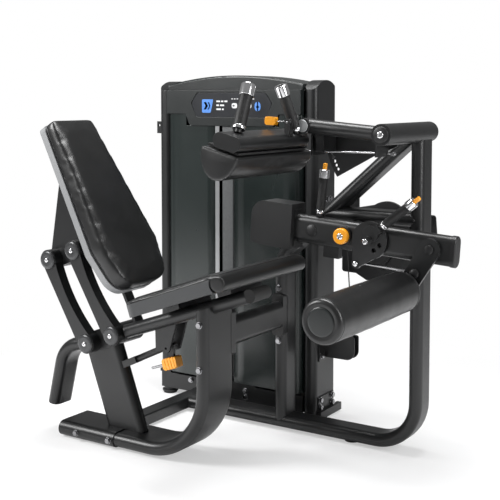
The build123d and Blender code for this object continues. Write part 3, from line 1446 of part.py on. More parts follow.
# ---------------------------------------------------------------- bolts, rubber feet, buffers and bumper
near_rail_y = user_y - front_w / 2
sleeve_near_y = near_rail_y - sleeve_wall


def near_facing(x, y, z):
    """A plane at the point, facing the near side."""
    return Plane(origin=(x, y, z), x_dir=(1, 0, 0), z_dir=(0, -1, 0))


def front_facing(x, y, z):
    """A plane at the point, facing the front."""
    return Plane(origin=(x, y, z), x_dir=(0, 1, 0), z_dir=(1, 0, 0))


bolt_places = [near_facing(x, sleeve_near_y, rail_z) for x in (front_left_x + 95, front_left_x + 260)]
bolt_places += [near_facing(upright_x, near_rail_y, mid_cross_z + dz) for dz in (-106, 58)]
bolt_places += [near_facing(upright_x, rail_y - rail_w / 2, mid_cross_z + dz) for dz in (-108, 108)]
bolt_places += [near_facing(stack_x + 102, tower_front_y, base_rail_z + dz) for dz in (22, 50)]
bolt_places += [near_facing(tower_left_x + 174, tower_front_y, base_rail_z + base_rail_h - 16)]
bolt_places += [front_facing(tower_right_x + 6, cable_y + dy, low_pulley_z - 58) for dy in (-46, 46)]
bolt_places += [front_facing(tower_right_x + 4, y, z) for y in (tower_front_y + 40, tower_far_y - 40) for z in (54, 84)]
bolt_places += [front_facing(tower_right_x, y, 925) for y in (tower_front_y + 95, tower_front_y + 120)]
with BuildPart() as frame_bolts:
    for bolt_place in bolt_places:
        add(hex_bolt(bolt_place))
save(frame_bolts.part, "frame_bolts")

with BuildPart() as seat_bumper:
    bumper_centre = turned(seat_route[1][0], seat_route[1][2], 0.7 * bumper_d / 2, seat_slope)
    add(barrel(bumper_centre, user_y - bumper_len / 2, user_y + bumper_len / 2, bumper_d))
    with BuildSketch(side_plane(seat_route[1][0], seat_route[1][2], user_y - bumper_len, seat_slope)):
        with Locations((-bumper_d, 0)):
            Rectangle(2 * bumper_d, 2 * bumper_d)
    extrude(amount=-2 * bumper_len, mode=Mode.SUBTRACT)

with BuildPart() as rubber_stops:
    add(seat_bumper.part)
    for rod_x in rod_places:
        with BuildSketch(Plane.XY.offset(stack_foot_z - buffer_h)):
            with Locations((rod_x, cable_y)):
                Circle(buffer_d / 2)
                Circle(rod_d / 2 + gap, mode=Mode.SUBTRACT)
        extrude(amount=buffer_h)
    for foot_x, foot_y, top_z in (
        (front_left_x + 400, user_y, foot_h),
        (front_left_x + 50, user_y, foot_h - sleeve_wall),
        (main_upright_x - 280, rail_y, foot_h),
        (tower_left_x + 36, tower_front_y + 28, foot_h),
        (tower_left_x + 36, tower_far_y - 28, foot_h),
        (tower_right_x - 20, tower_front_y + tower_depth / 2, foot_h),
    ):
        with BuildSketch(Plane.XY):
            with Locations((foot_x, foot_y)):
                Circle(foot_w / 2)
        extrude(amount=top_z)
save(rubber_stops.part, "rubber_stops")
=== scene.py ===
"""Looks of the seated leg curl machine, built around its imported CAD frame. Metres, +Z up."""
import json
import math

import bmesh
import bpy
import numpy as np
from mathutils import Matrix, Vector
from mathutils.bvhtree import BVHTree


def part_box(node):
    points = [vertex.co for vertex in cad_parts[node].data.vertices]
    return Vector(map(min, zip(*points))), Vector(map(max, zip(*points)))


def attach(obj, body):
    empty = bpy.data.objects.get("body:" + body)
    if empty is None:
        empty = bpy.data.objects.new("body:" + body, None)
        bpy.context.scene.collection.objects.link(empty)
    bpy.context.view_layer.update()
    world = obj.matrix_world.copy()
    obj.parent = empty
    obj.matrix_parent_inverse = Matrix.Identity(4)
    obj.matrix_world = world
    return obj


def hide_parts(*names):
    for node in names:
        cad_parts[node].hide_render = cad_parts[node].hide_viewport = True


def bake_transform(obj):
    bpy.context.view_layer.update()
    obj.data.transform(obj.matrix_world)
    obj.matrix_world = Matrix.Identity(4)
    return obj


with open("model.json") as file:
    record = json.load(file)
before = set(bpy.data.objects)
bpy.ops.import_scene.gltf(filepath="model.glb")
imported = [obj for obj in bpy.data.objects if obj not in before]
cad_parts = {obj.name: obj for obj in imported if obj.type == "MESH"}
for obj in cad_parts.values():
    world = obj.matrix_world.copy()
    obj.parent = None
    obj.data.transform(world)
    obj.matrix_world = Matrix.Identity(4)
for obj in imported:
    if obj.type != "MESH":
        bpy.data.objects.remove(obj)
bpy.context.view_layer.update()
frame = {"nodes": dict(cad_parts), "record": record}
nodes = frame["nodes"]
joints = {j["name"]: j for j in frame["record"]["behaviour"]["joints"]}
SEAT_SLOPE = math.radians(19.3)
BACK_LEAN = math.radians(30.6)
CARRIER_TILT = math.radians(-15)
LEVER_SLOPE = math.radians(3.83)
NEAR = (0, -1, 0)  # away from the tower, to the side that the photograph shows
FAR = (0, 1, 0)
# Places fitted to the photograph and given here, not read from the frame.
THIGH_ELBOW = (0.278, -0.1004, 1.246)
SEAT_GRIP_X, SEAT_GRIP_Z = -0.190, 0.352
SEAT_PIVOT_X, SEAT_PIVOT_Z = -0.196, 0.412


# ---------------------------------------------------------------- materials
COAT_ROUGHNESS = 0.12
HAZE_TO_MOTTLE = 2.3  # how much finer the roughness varies than the colour
BUMP_DISTANCE = 0.002


def material(name, colour, rough, metal=0.0, coat=0.0, mottle=(9.0, 0.10), grain=(700.0, 0.04),
             rough_spread=0.06, cells=None, scratches=0.0, edge=0.0012):
    """A procedural finish: mottled colour, uneven roughness, fine grain and softened edges.

    mottle is (scale, strength), grain is (scale, bump strength) and cells is (pore scale, crease scale).
    With cells or scratches the bump comes from them, and only the strength of grain counts.
    """
    mat = bpy.data.materials.new(name)
    mat.use_nodes = True
    tree = mat.node_tree
    make, link = tree.nodes.new, tree.links.new
    shader = tree.nodes["Principled BSDF"]
    shader.inputs["Metallic"].default_value = metal
    shader.inputs["Coat Weight"].default_value = coat
    shader.inputs["Coat Roughness"].default_value = COAT_ROUGHNESS
    place = make("ShaderNodeTexCoord")

    cloud = make("ShaderNodeTexNoise")
    cloud.inputs["Scale"].default_value = mottle[0]
    cloud.inputs["Detail"].default_value = 6
    link(place.outputs["Object"], cloud.inputs["Vector"])
    tint = make("ShaderNodeValToRGB")
    low = [c * (1 - mottle[1]) for c in colour]
    high = [min(1, c * (1 + mottle[1])) for c in colour]
    tint.color_ramp.elements[0].position = 0.3
    tint.color_ramp.elements[0].color = (*low, 1)
    tint.color_ramp.elements[1].position = 0.7
    tint.color_ramp.elements[1].color = (*high, 1)
    link(cloud.outputs["Fac"], tint.inputs["Fac"])
    link(tint.outputs["Color"], shader.inputs["Base Color"])

    haze = make("ShaderNodeTexNoise")
    haze.inputs["Scale"].default_value = mottle[0] * HAZE_TO_MOTTLE
    haze.inputs["Detail"].default_value = 4
    link(place.outputs["Object"], haze.inputs["Vector"])
    spread = make("ShaderNodeMapRange")
    spread.inputs["To Min"].default_value = max(0.02, rough - rough_spread)
    spread.inputs["To Max"].default_value = min(1, rough + rough_spread)
    link(haze.outputs["Fac"], spread.inputs["Value"])
    link(spread.outputs["Result"], shader.inputs["Roughness"])

    if cells:
        pores = make("ShaderNodeTexVoronoi")
        pores.feature = "DISTANCE_TO_EDGE"
        pores.inputs["Scale"].default_value = cells[0]
        link(place.outputs["Object"], pores.inputs["Vector"])
        creases = make("ShaderNodeTexNoise")
        creases.inputs["Scale"].default_value = cells[1]
        creases.inputs["Detail"].default_value = 8
        link(place.outputs["Object"], creases.inputs["Vector"])
        join = make("ShaderNodeMath")
        join.operation = "MULTIPLY_ADD"
        join.inputs[1].default_value = 2.0
        link(creases.outputs["Fac"], join.inputs[0])
        link(pores.outputs["Distance"], join.inputs[2])
        height = join.outputs["Value"]
    elif scratches:
        streak_map = make("ShaderNodeMapping")
        streak_map.inputs["Scale"].default_value = (40, 40, 900)
        link(place.outputs["Object"], streak_map.inputs["Vector"])
        streak = make("ShaderNodeTexNoise")
        streak.inputs["Scale"].default_value = scratches
        link(streak_map.outputs["Vector"], streak.inputs["Vector"])
        height = streak.outputs["Fac"]
    else:
        fine = make("ShaderNodeTexNoise")
        fine.inputs["Scale"].default_value = grain[0]
        fine.inputs["Detail"].default_value = 2
        link(place.outputs["Object"], fine.inputs["Vector"])
        height = fine.outputs["Fac"]
    bump = make("ShaderNodeBump")
    bump.inputs["Strength"].default_value = grain[1]
    bump.inputs["Distance"].default_value = BUMP_DISTANCE
    link(height, bump.inputs["Height"])
    if edge:
        rounded = make("ShaderNodeBevel")
        rounded.samples = 4
        rounded.inputs["Radius"].default_value = edge
        link(rounded.outputs["Normal"], bump.inputs["Normal"])
    link(bump.outputs["Normal"], shader.inputs["Normal"])
    return mat


powder = material("powder_black", (0.0085, 0.0088, 0.0092), 0.33, grain=(1400, 0.10), mottle=(6, 0.12),
                  edge=0.002)
column_paint = material("column_black", (0.009, 0.0095, 0.010), 0.36, grain=(1400, 0.10), mottle=(4, 0.10),
                        edge=0.002)
iron = material("weight_paint", (0.009, 0.0093, 0.0096), 0.40, grain=(420, 0.20), mottle=(12, 0.2),
                edge=0.0012)
trim = material("trim_plastic", (0.008, 0.008, 0.0085), 0.40, grain=(900, 0.12), edge=0.0012)
shroud = material("shroud_green", (0.0135, 0.0195, 0.0185), 0.25, coat=0.3, grain=(500, 0.05),
                  mottle=(3, 0.08), edge=0.003)
cover = material("cover_grey", (0.0105, 0.013, 0.013), 0.32, coat=0.1, grain=(900, 0.10), mottle=(4, 0.08),
                 edge=0.003)
shell = material("shell_grey", (0.050, 0.052, 0.054), 0.38, grain=(1000, 0.08), mottle=(5, 0.07), edge=0.003)
shell_light = material("shell_light", (0.26, 0.265, 0.27), 0.36, grain=(1000, 0.06), mottle=(5, 0.05),
                       edge=0.003)
vinyl = material("pad_vinyl", (0.0078, 0.0080, 0.0082), 0.34, cells=(420, 14), grain=(1, 0.10),
                 mottle=(5, 0.16), rough_spread=0.09, edge=0)
piping = material("pad_piping", (0.018, 0.0185, 0.019), 0.34, cells=(500, 30), grain=(1, 0.1), edge=0)
grip_rubber = material("grip_rubber", (0.0065, 0.0065, 0.0068), 0.50, grain=(800, 0.25), edge=0)
amber = material("amber_plastic", (0.93, 0.37, 0.012), 0.28, coat=0.4, grain=(600, 0.05), mottle=(14, 0.05),
                 edge=0.0015)
chrome = material("chrome", (0.82, 0.82, 0.83), 0.13, metal=1, grain=(300, 0.01), mottle=(8, 0.04),
                  rough_spread=0.05, edge=0.001)
cast_cap = material("cap_metal", (0.060, 0.061, 0.063), 0.27, metal=0.35, grain=(500, 0.03), mottle=(8, 0.08),
                    edge=0.001)
bright_cap = material("bright_cap", (0.36, 0.37, 0.375), 0.34, metal=0.4, grain=(500, 0.03), mottle=(8, 0.08),
                      edge=0.001)
steel = material("brushed_steel", (0.50, 0.50, 0.51), 0.26, metal=1, grain=(1, 0.05), scratches=1.0,
                 edge=0.0008)
bolt_steel = material("bolt_steel", (0.30, 0.30, 0.31), 0.20, metal=1, grain=(700, 0.03), mottle=(60, 0.2),
                      edge=0.0008)
nylon = material("pulley_nylon", (0.022, 0.022, 0.023), 0.40, grain=(600, 0.08), edge=0.001)
cable_skin = material("cable_skin", (0.013, 0.013, 0.013), 0.38, grain=(900, 0.10), edge=0)
foot_rubber = material("foot_rubber", (0.018, 0.018, 0.018), 0.70, grain=(500, 0.25), edge=0.0008)
frost = material("frosted_shield", (0.115, 0.120, 0.122), 0.42, grain=(380, 0.35), mottle=(240, 0.22),
                 edge=0.0006)
silver = material("silver_trim", (0.42, 0.425, 0.43), 0.30, metal=0.5, grain=(700, 0.04), edge=0.001)
ink_white = material("ink_white", (0.78, 0.79, 0.80), 0.40, grain=(800, 0.03), mottle=(30, 0.03), edge=0)
ink_blue = material("ink_blue", (0.085, 0.26, 0.72), 0.38, grain=(800, 0.03), mottle=(30, 0.06), edge=0)
ink_orange = material("ink_orange", (0.80, 0.30, 0.02), 0.40, grain=(800, 0.03), mottle=(30, 0.06), edge=0)
plate_face = material("placard_face", (0.009, 0.0105, 0.014), 0.30, coat=0.15, grain=(900, 0.04), edge=0.001)


def rolled_edges(mat, edges, depth):
    """Bends the shading of a flat moulding back towards each upright edge.

    edges holds (x of the edge, width of the roll, +1 where the face lies on its +X side or -1).
    """
    tree = mat.node_tree
    shader = tree.nodes["Principled BSDF"]
    before = shader.inputs["Normal"].links[0].from_socket
    place = tree.nodes.new("ShaderNodeTexCoord")
    split = tree.nodes.new("ShaderNodeSeparateXYZ")
    tree.links.new(place.outputs["Object"], split.inputs[0])
    total = None
    for edge_at, width, side in edges:
        into = tree.nodes.new("ShaderNodeMapRange")
        into.inputs["From Min"].default_value = edge_at + side * width
        into.inputs["From Max"].default_value = edge_at
        into.inputs["To Max"].default_value = 1.0
        tree.links.new(split.outputs["X"], into.inputs["Value"])
        square = tree.nodes.new("ShaderNodeMath")
        square.operation = "POWER"
        square.inputs[1].default_value = 2.0
        tree.links.new(into.outputs["Result"], square.inputs[0])
        fall = tree.nodes.new("ShaderNodeMath")
        fall.operation = "MULTIPLY_ADD"
        fall.inputs[1].default_value = -depth * width
        tree.links.new(square.outputs["Value"], fall.inputs[0])
        if total:
            tree.links.new(total, fall.inputs[2])
        total = fall.outputs["Value"]
    roll = tree.nodes.new("ShaderNodeBump")
    roll.inputs["Strength"].default_value = 1.0
    roll.inputs["Distance"].default_value = 1.0
    tree.links.new(total, roll.inputs["Height"])
    tree.links.new(before, roll.inputs["Normal"])
    tree.links.new(roll.outputs["Normal"], shader.inputs["Normal"])


left_from, left_to = (Vector(c).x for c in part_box("left_panel"))
right_from, right_to = (Vector(c).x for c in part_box("right_panel"))
PANEL_ROLL_DEPTH = 0.42  # height of the roll, as a share of its width
rolled_edges(shroud, [(left_from, 0.09, 1), (left_to, 0.05, -1), (right_from, 0.06, 1), (right_to, 0.09, -1)],
             PANEL_ROLL_DEPTH)

finishes = {
    powder: "front_rail floor_cross mid_cross main_rail center_frame upper_beam pivot_housing seat_column "
            "tail_tube seat_frame lever_beam adjust_disc roller_link thigh_arm link_rear link_front "
            "backrest_frame pulley_frames tower_base cable_guard",
    column_paint: "left_column right_column",
    iron: "counterweight resting_plates lifted_plates cable_cam",
    trim: "lever_end_cap selector_pin gas_spring",
    shroud: "left_panel right_panel rear_panel",
    cover: "tower_cap placard_cover",
    shell_light: "backrest_shell",
    shell: "seat_shell",
    amber: "knee_cap lever_button adjust_button thigh_release seat_release",
    steel: "adjust_rod guide_rods release_rod knee_axle",
    bolt_steel: "frame_bolts",
    nylon: "top_pulley_stack top_pulley_side inner_pulley lower_pulley",
    cable_skin: "machine_cable stack_cable",
    foot_rubber: "rubber_stops",
}
for finish, names in finishes.items():
    for name in names.split():
        mesh = nodes[name].data
        mesh.materials.clear()
        mesh.materials.append(finish)


# ---------------------------------------------------------------- mesh helpers
SHARP_ANGLE = math.radians(38)


def new_object(name, bm, mats, body=None, smooth=True):
    """Makes the mesh into an object that rides on body, if one is given."""
    mesh = bpy.data.meshes.new(name)
    bm.normal_update()
    bm.to_mesh(mesh)
    bm.free()
    for mat in mats:
        mesh.materials.append(mat)
    for face in mesh.polygons:
        face.use_smooth = smooth
    obj = bpy.data.objects.new(name, mesh)
    bpy.context.scene.collection.objects.link(obj)
    if body:
        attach(obj, body)
    return obj


def axis_matrix(start, direction):
    """A matrix whose third column is the direction and whose origin is start."""
    turn = Vector(direction).normalized().to_track_quat("Z", "Y").to_matrix().to_4x4()
    return Matrix.Translation(Vector(start)) @ turn


def lathe(name, start, direction, profile, mats, body, segments=48):
    """A turned piece: profile holds (along, radius, material index) from the start to the far end.

    The index at a point is the material of the band that follows it.
    """
    bm = bmesh.new()
    place = axis_matrix(start, direction)
    rings = []
    for along, radius, _ in profile:
        if radius < 1e-6:
            rings.append([bm.verts.new(place @ Vector((0, 0, along)))])
            continue
        ring = []
        for k in range(segments):
            turn = 2 * math.pi * k / segments
            spot = Vector((radius * math.cos(turn), radius * math.sin(turn), along))
            ring.append(bm.verts.new(place @ spot))
        rings.append(ring)
    for (ring_a, ring_b), (_, _, index) in zip(zip(rings, rings[1:]), profile):
        for k in range(segments):
            n = (k + 1) % segments
            corners = [ring_a[k % len(ring_a)], ring_a[n % len(ring_a)], ring_b[n % len(ring_b)],
                       ring_b[k % len(ring_b)]]
            corners = list(dict.fromkeys(corners))
            face = bm.faces.new(corners)
            face.material_index = index
    bmesh.ops.recalc_face_normals(bm, faces=bm.faces)
    obj = new_object(name, bm, mats, body)
    obj.data.set_sharp_from_angle(angle=SHARP_ANGLE)
    return obj


def rounded_end(along, radius, soft, index):
    """Profile points that round a rim off at the far end, left open for what follows."""
    points = []
    for k in range(6):
        turn = math.pi / 2 * k / 5
        points.append((along - soft + soft * math.sin(turn), radius - soft + soft * math.cos(turn), index))
    return points


def plate(name, outline, place, thick, mats, body, index=0, rim=0.0008, obj_bm=None):
    """A flat piece with the outline of (u, v) points in the place's plane, standing out along its normal.

    With obj_bm the piece is added to that mesh and no object is made.
    """
    bm = obj_bm or bmesh.new()
    low = [bm.verts.new(place @ Vector((u, v, 0))) for u, v in outline]
    high = [bm.verts.new(place @ Vector((u, v, thick))) for u, v in outline]
    faces = [bm.faces.new(high), bm.faces.new(list(reversed(low)))]
    count = len(outline)
    for k in range(count):
        faces.append(bm.faces.new([low[k], low[(k + 1) % count], high[(k + 1) % count], high[k]]))
    for face in faces:
        face.material_index = index
    if rim:
        edges = list(faces[0].edges)
        made = bmesh.ops.bevel(bm, geom=edges, offset=rim, segments=2, affect="EDGES", profile=0.5)
        for face in made["faces"]:
            face.material_index = index
    if obj_bm:
        return None
    bmesh.ops.recalc_face_normals(bm, faces=bm.faces)
    return new_object(name, bm, mats, body, smooth=False)


def rounded_outline(corners, radius, steps=5):
    """The polygon's outline with each corner turned into a short curve."""
    points = []
    count = len(corners)
    for k in range(count):
        before, here, after = (Vector(corners[(k + d) % count]) for d in (-1, 0, 1))
        enter = here + (before - here).normalized() * radius
        leave = here + (after - here).normalized() * radius
        for s in range(steps + 1):
            t = s / steps
            points.append((enter * (1 - t) ** 2 + here * 2 * t * (1 - t) + leave * t ** 2)[:])
    return points


def near_place(x, y, z, turn=0.0):
    """A place on a face that looks to the near side, its first axis turned up from +X."""
    u = Vector((math.cos(turn), 0, math.sin(turn)))
    v = Vector((-math.sin(turn), 0, math.cos(turn)))
    n = Vector(NEAR)
    rows = [(u[i], v[i], n[i], (x, y, z)[i]) for i in range(3)]
    return Matrix(rows + [(0, 0, 0, 1)])


def socket_bolt(name, start, direction, radius, body, dome=0.004, mats=None):
    """A domed bolt head with a round socket sunk into its centre."""
    r, d = radius, dome
    profile = [(0, 0, 0), (0, r, 0), (d * 0.35, r, 0), (d * 0.75, r * 0.92, 0), (d, r * 0.72, 0),
               (d, r * 0.46, 0), (d * 0.2, r * 0.42, 0), (d * 0.2, 0, 0)]
    return lathe(name, start, direction, profile, mats or [chrome], body, segments=32)


def read_rows(items, what):
    """Three numbers of each item as the rows of an array."""
    values = np.empty(len(items) * 3)
    items.foreach_get(what, values)
    return values.reshape(-1, 3)


def vertices_of(node):
    """The points of a CAD node in the shared frame, one row each."""
    points = read_rows(nodes[node].data.vertices, "co")
    world = np.array(nodes[node].matrix_world)
    return points @ world[:3, :3].T + world[:3, 3]


# ---------------------------------------------------------------- handles
CAP_LEN = 0.032
CAP_R = 0.0195
GRIP_FROM = 0.024
GRIP_R = 0.0165
RIB_PITCH = 0.0045
RIM_BAND = 0.003  # how near a rim a point lies to be counted as on it
FAT_FROM_R = 0.0155  # radii above this grow with fat


def handle_line(points, guess):
    """The foot and the tip of a handle's axis, from the solid's own rims."""
    guess = np.array(guess) / np.linalg.norm(guess)
    for _ in range(2):
        along = points @ guess
        top = along.max()
        tip = points[along > top - RIM_BAND].mean(axis=0)
        rim = points[np.abs(along - top + CAP_LEN) < RIM_BAND].mean(axis=0)
        guess = (tip - rim) / np.linalg.norm(tip - rim)
    along = points @ guess
    return tip - guess * (along.max() - along.min()), tip


def handle_piece(name, points, guess, body, hollow, fat=0.0):
    """A ribbed rubber grip between a chrome collar and a chrome cap. A hollow cap has room for a button."""
    foot, tip = handle_line(points, guess)
    length = float(np.linalg.norm(tip - foot))
    grip_to = length - (CAP_LEN + 2 * fat)
    profile = [(0, 0, 2), (0, 0.012, 2), (0.012, 0.012, 1), (0.0125, 0.017, 1), (0.0135, 0.0175, 1),
               (0.0225, 0.0175, 1), (GRIP_FROM, 0.0168, 1), (GRIP_FROM, GRIP_R, 0)]
    ribs = int((grip_to - GRIP_FROM) / RIB_PITCH)
    for k in range(ribs):
        at = GRIP_FROM + (grip_to - GRIP_FROM) * (k + 0.5) / ribs
        profile += [(at - 0.0013, 0.0159, 0), (at - 0.0008, GRIP_R, 0), (at + 0.0008, GRIP_R, 0),
                    (at + 0.0013, 0.0159, 0)]
    profile += [(grip_to, GRIP_R, 0), (grip_to, 0.0186, 1), (grip_to + 0.001, CAP_R, 1)]
    profile += rounded_end(length, CAP_R, 0.004, 1)
    if hollow:
        profile += [(length, 0.0086, 1), (length - 0.012, 0.0086, 2), (length - 0.012, 0, 2)]
    else:
        profile += [(length, 0.011, 2), (length - 0.001, 0.010, 2), (length - 0.001, 0, 2)]
    profile = [(along, radius + fat if radius > FAT_FROM_R else radius, index)
               for along, radius, index in profile]
    return lathe(name, foot, tip - foot, profile, [grip_rubber, chrome, trim], body)


lever_grip = handle_piece("lever_grip", vertices_of("lever_handle"), (0.12, 0, 0.99), "lever", True)
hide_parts("lever_handle")
adjust_grip = handle_piece("adjust_grip", vertices_of("adjust_handle"), (0.79, 0, 0.62), "adjuster", True)
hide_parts("adjust_handle")
both = vertices_of("thigh_handles")
middle_y = (both[:, 1].min() + both[:, 1].max()) / 2
near_grip = handle_piece("thigh_grip_near", both[both[:, 1] < middle_y], (0, 0.4, 0.9), "thigh", False,
                         fat=0.006)
far_grip = handle_piece("thigh_grip_far", both[both[:, 1] > middle_y], (0, -0.4, 0.9), "thigh", False,
                        fat=0.004)
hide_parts("thigh_handles")
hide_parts("thigh_handles")

# ---------------------------------------------------------------- soft pieces
VOXEL = 0.006
WELD_DIST = 0.00005
CLOTH_FRAMES = 20
CLOTH = {"quality": 6, "mass": 0.3, "tension_stiffness": 40, "compression_stiffness": 40,
         "bending_stiffness": 12}
SEAM_REACH = 1.2
PIPING_SINK = 0.3  # share of its radius that piping lies in the skin


def soft_body(name, node, shrink, smoothing):
    """The CAD pad as an even, slightly smaller and softened mesh."""
    source = nodes[node]
    mesh = source.data.copy()
    obj = bpy.data.objects.new(name, mesh)
    bpy.context.scene.collection.objects.link(obj)
    bm = bmesh.new()
    bm.from_mesh(mesh)
    bm.transform(source.matrix_world)
    bmesh.ops.remove_doubles(bm, verts=bm.verts, dist=WELD_DIST)
    bm.to_mesh(mesh)
    bm.free()
    mesh.materials.clear()
    mesh.materials.append(vinyl)
    apply_modifier(obj, "REMESH", mode="VOXEL", voxel_size=VOXEL, use_smooth_shade=True)
    apply_modifier(obj, "SMOOTH", factor=0.5, iterations=smoothing)
    bm = bmesh.new()
    bm.from_mesh(obj.data)
    bm.normal_update()
    for v in bm.verts:
        v.co -= v.normal * shrink
    bm.to_mesh(obj.data)
    bm.free()
    return obj


def apply_modifier(obj, kind, **settings):
    """Adds one modifier and makes its result the object's mesh."""
    mod = obj.modifiers.new(kind.lower(), kind)
    for key, value in settings.items():
        setattr(mod, key, value)
    bake(obj)


def bake(obj):
    """Makes what the modifiers show now the object's own mesh."""
    graph = bpy.context.evaluated_depsgraph_get()
    made = bpy.data.meshes.new_from_object(obj.evaluated_get(graph))
    obj.modifiers.clear()
    old = obj.data
    obj.data = made
    bpy.data.meshes.remove(old)


def inflate(obj, pressure, cap, free, smoothing=9):
    """Blows the pad up as cloth, then keeps each point within cap and only where free(point) allows.
    """
    rest = read_rows(obj.data.vertices, "co")
    mod = obj.modifiers.new("cloth", "CLOTH")
    mod.settings.use_pressure = True
    mod.settings.uniform_pressure_force = pressure
    mod.settings.effector_weights.gravity = 0
    for key, value in CLOTH.items():
        setattr(mod.settings, key, value)
    scene = bpy.context.scene
    for number in range(1, CLOTH_FRAMES + 1):
        scene.frame_set(number)
    bake(obj)
    scene.frame_set(1)
    blown = read_rows(obj.data.vertices, "co")
    moved = blown - rest
    size = np.linalg.norm(moved, axis=1, keepdims=True)
    moved *= np.minimum(1, cap / np.maximum(size, 1e-9))
    allow = np.array([free(Vector(p)) for p in rest])[:, None]
    obj.data.vertices.foreach_set("co", (rest + moved * allow).ravel())
    obj.data.update()
    apply_modifier(obj, "SMOOTH", factor=0.5, iterations=smoothing)
    apply_modifier(obj, "SUBSURF", levels=1, render_levels=1)
    for face in obj.data.polygons:
        face.use_smooth = True


def seam_ring(name, pad, centre, axis_u, axis_v, radius, body, count=180):
    """Piping that follows the pad's skin in the plane through centre."""
    bm = bmesh.new()
    bm.from_mesh(pad.data)
    tree = BVHTree.FromBMesh(bm)
    bm.free()
    centre, axis_u, axis_v = Vector(centre), Vector(axis_u), Vector(axis_v)
    points = []
    for k in range(count):
        turn = 2 * math.pi * k / count
        way = (axis_u * math.cos(turn) + axis_v * math.sin(turn)).normalized()
        start = centre + way * SEAM_REACH
        hit, _, _, _ = tree.ray_cast(start, -way, SEAM_REACH)
        if hit:
            points.append(hit - way * radius * PIPING_SINK)
    curve = bpy.data.curves.new(name, "CURVE")
    curve.dimensions = "3D"
    curve.bevel_depth = radius
    curve.bevel_resolution = 3
    spline = curve.splines.new("POLY")
    spline.points.add(len(points) - 1)
    for point, at in zip(spline.points, points):
        point.co = (*at, 1)
    spline.use_cyclic_u = True
    spline.use_smooth = True
    curve.materials.append(piping)
    obj = bpy.data.objects.new(name, curve)
    bpy.context.scene.collection.objects.link(obj)
    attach(obj, body)
    return obj


def eased(depth, held, over):
    """0 down to the held depth, then rising to 1 over the next stretch."""
    return min(1.0, max(0.0, (depth - held) / over))


# Backrest pad: the rear of the slab, in its shell, stays put and the front swells.
back_out = Vector((math.cos(BACK_LEAN), 0, math.sin(BACK_LEAN)))
back_up = Vector((-math.sin(BACK_LEAN), 0, math.cos(BACK_LEAN)))
across = Vector(FAR)
back_rear = (vertices_of("backrest_pad") @ np.array(back_out)).min()


def free_back(p):
    return eased(p.dot(back_out) - back_rear, 0.006, 0.02)


backrest_cushion = soft_body("backrest_cushion", "backrest_pad", 0.002, 26)
inflate(backrest_cushion, 1.2, 0.007, free_back, smoothing=12)
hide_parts("backrest_pad")
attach(backrest_cushion, "backrest")

# Seat pad: what sits inside the shell stays put, the top and the nose swell.
seat_along = Vector((math.cos(SEAT_SLOPE), 0, math.sin(SEAT_SLOPE)))
seat_up = Vector((-math.sin(SEAT_SLOPE), 0, math.cos(SEAT_SLOPE)))
shell_top = (vertices_of("seat_shell") @ np.array(seat_up)).max()


def free_seat(p):
    return eased(p.dot(seat_up) - shell_top, 0.001, 0.008)


seat_cushion = soft_body("seat_cushion", "seat_pad", 0.002, 3)
inflate(seat_cushion, 2.0, 0.007, free_seat)
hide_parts("seat_pad")
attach(seat_cushion, "frame")

# Thigh pad: its flat top lies on the carrier's board, the round underside swells.
thigh_up = Vector((-math.sin(CARRIER_TILT), 0, math.cos(CARRIER_TILT)))
thigh_top = (vertices_of("thigh_pad") @ np.array(thigh_up)).max()


def free_thigh(p):
    return eased(thigh_top - p.dot(thigh_up), 0.004, 0.03)


thigh_cushion = soft_body("thigh_cushion", "thigh_pad", 0.003, 3)
inflate(thigh_cushion, 1.2, 0.005, free_thigh, smoothing=6)
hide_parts("thigh_pad")
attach(thigh_cushion, "thigh")

# Piping.
back_low, back_high = (Vector(c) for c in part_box("backrest_pad"))
back_mid = (back_low + back_high) / 2
lift = back_rear + 0.010 - back_mid.dot(back_out)
seam_ring("backrest_piping", backrest_cushion, back_mid + back_out * lift, across, back_up, 0.0018,
          "backrest")
seat_low, seat_high = (Vector(c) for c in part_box("seat_pad"))
seat_mid = (seat_low + seat_high) / 2
lift = shell_top + 0.0085 - seat_mid.dot(seat_up)
seam_ring("seat_piping", seat_cushion, seat_mid + seat_up * lift, across, seat_along, 0.0022, "frame")
thigh_low, thigh_high = (Vector(c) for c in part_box("thigh_pad"))
thigh_mid = (thigh_low + thigh_high) / 2
for tag, at_y in (("near", thigh_low.y + 0.007), ("far", thigh_high.y - 0.007)):
    centre = Vector((thigh_mid.x, at_y, thigh_mid.z + 0.02))
    seam_ring("thigh_piping_" + tag, thigh_cushion, centre, (1, 0, 0), (0, 0, 1), 0.0022, "thigh", count=120)

# Ankle roller: an upholstered tube, drawn as a turned skin, with a disc in each end.
ROLLER_EDGE = 0.016  # radius of the skin's rounded rim
ROLLER_WAIST = 0.023  # where the seam's welt ends
ROLLER_RINGS = 24
roller_low, roller_high = (Vector(c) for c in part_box("ankle_roller"))
roller_mid = (roller_low + roller_high) / 2
roller_r = (roller_high.z - roller_low.z) / 2
roller_len = roller_high.y - roller_low.y
skin = [(0.006, 0.040, 0)]
for k in range(7):
    turn = math.pi / 2 * k / 6
    rim_r = roller_r - 0.018 + ROLLER_EDGE * math.sin(turn)
    skin.append((ROLLER_EDGE - ROLLER_EDGE * math.cos(turn), rim_r, 0))
skin += [(0.020, roller_r - 0.002, 1), (0.0215, roller_r - 0.0005, 1), (ROLLER_WAIST, roller_r - 0.002, 0)]
end_points = len(skin)
for k in range(1, ROLLER_RINGS):
    t = k / ROLLER_RINGS
    along = ROLLER_WAIST + (roller_len - 2 * ROLLER_WAIST) * t
    ripple = 0.0006 * math.sin(37 * t) * math.sin(11 * t)
    skin.append((along, roller_r - 0.0015 + 0.0022 * math.sin(math.pi * t) + ripple, 0))
mirror = [(roller_len - a, r, i) for a, r, i in reversed(skin[:end_points])]
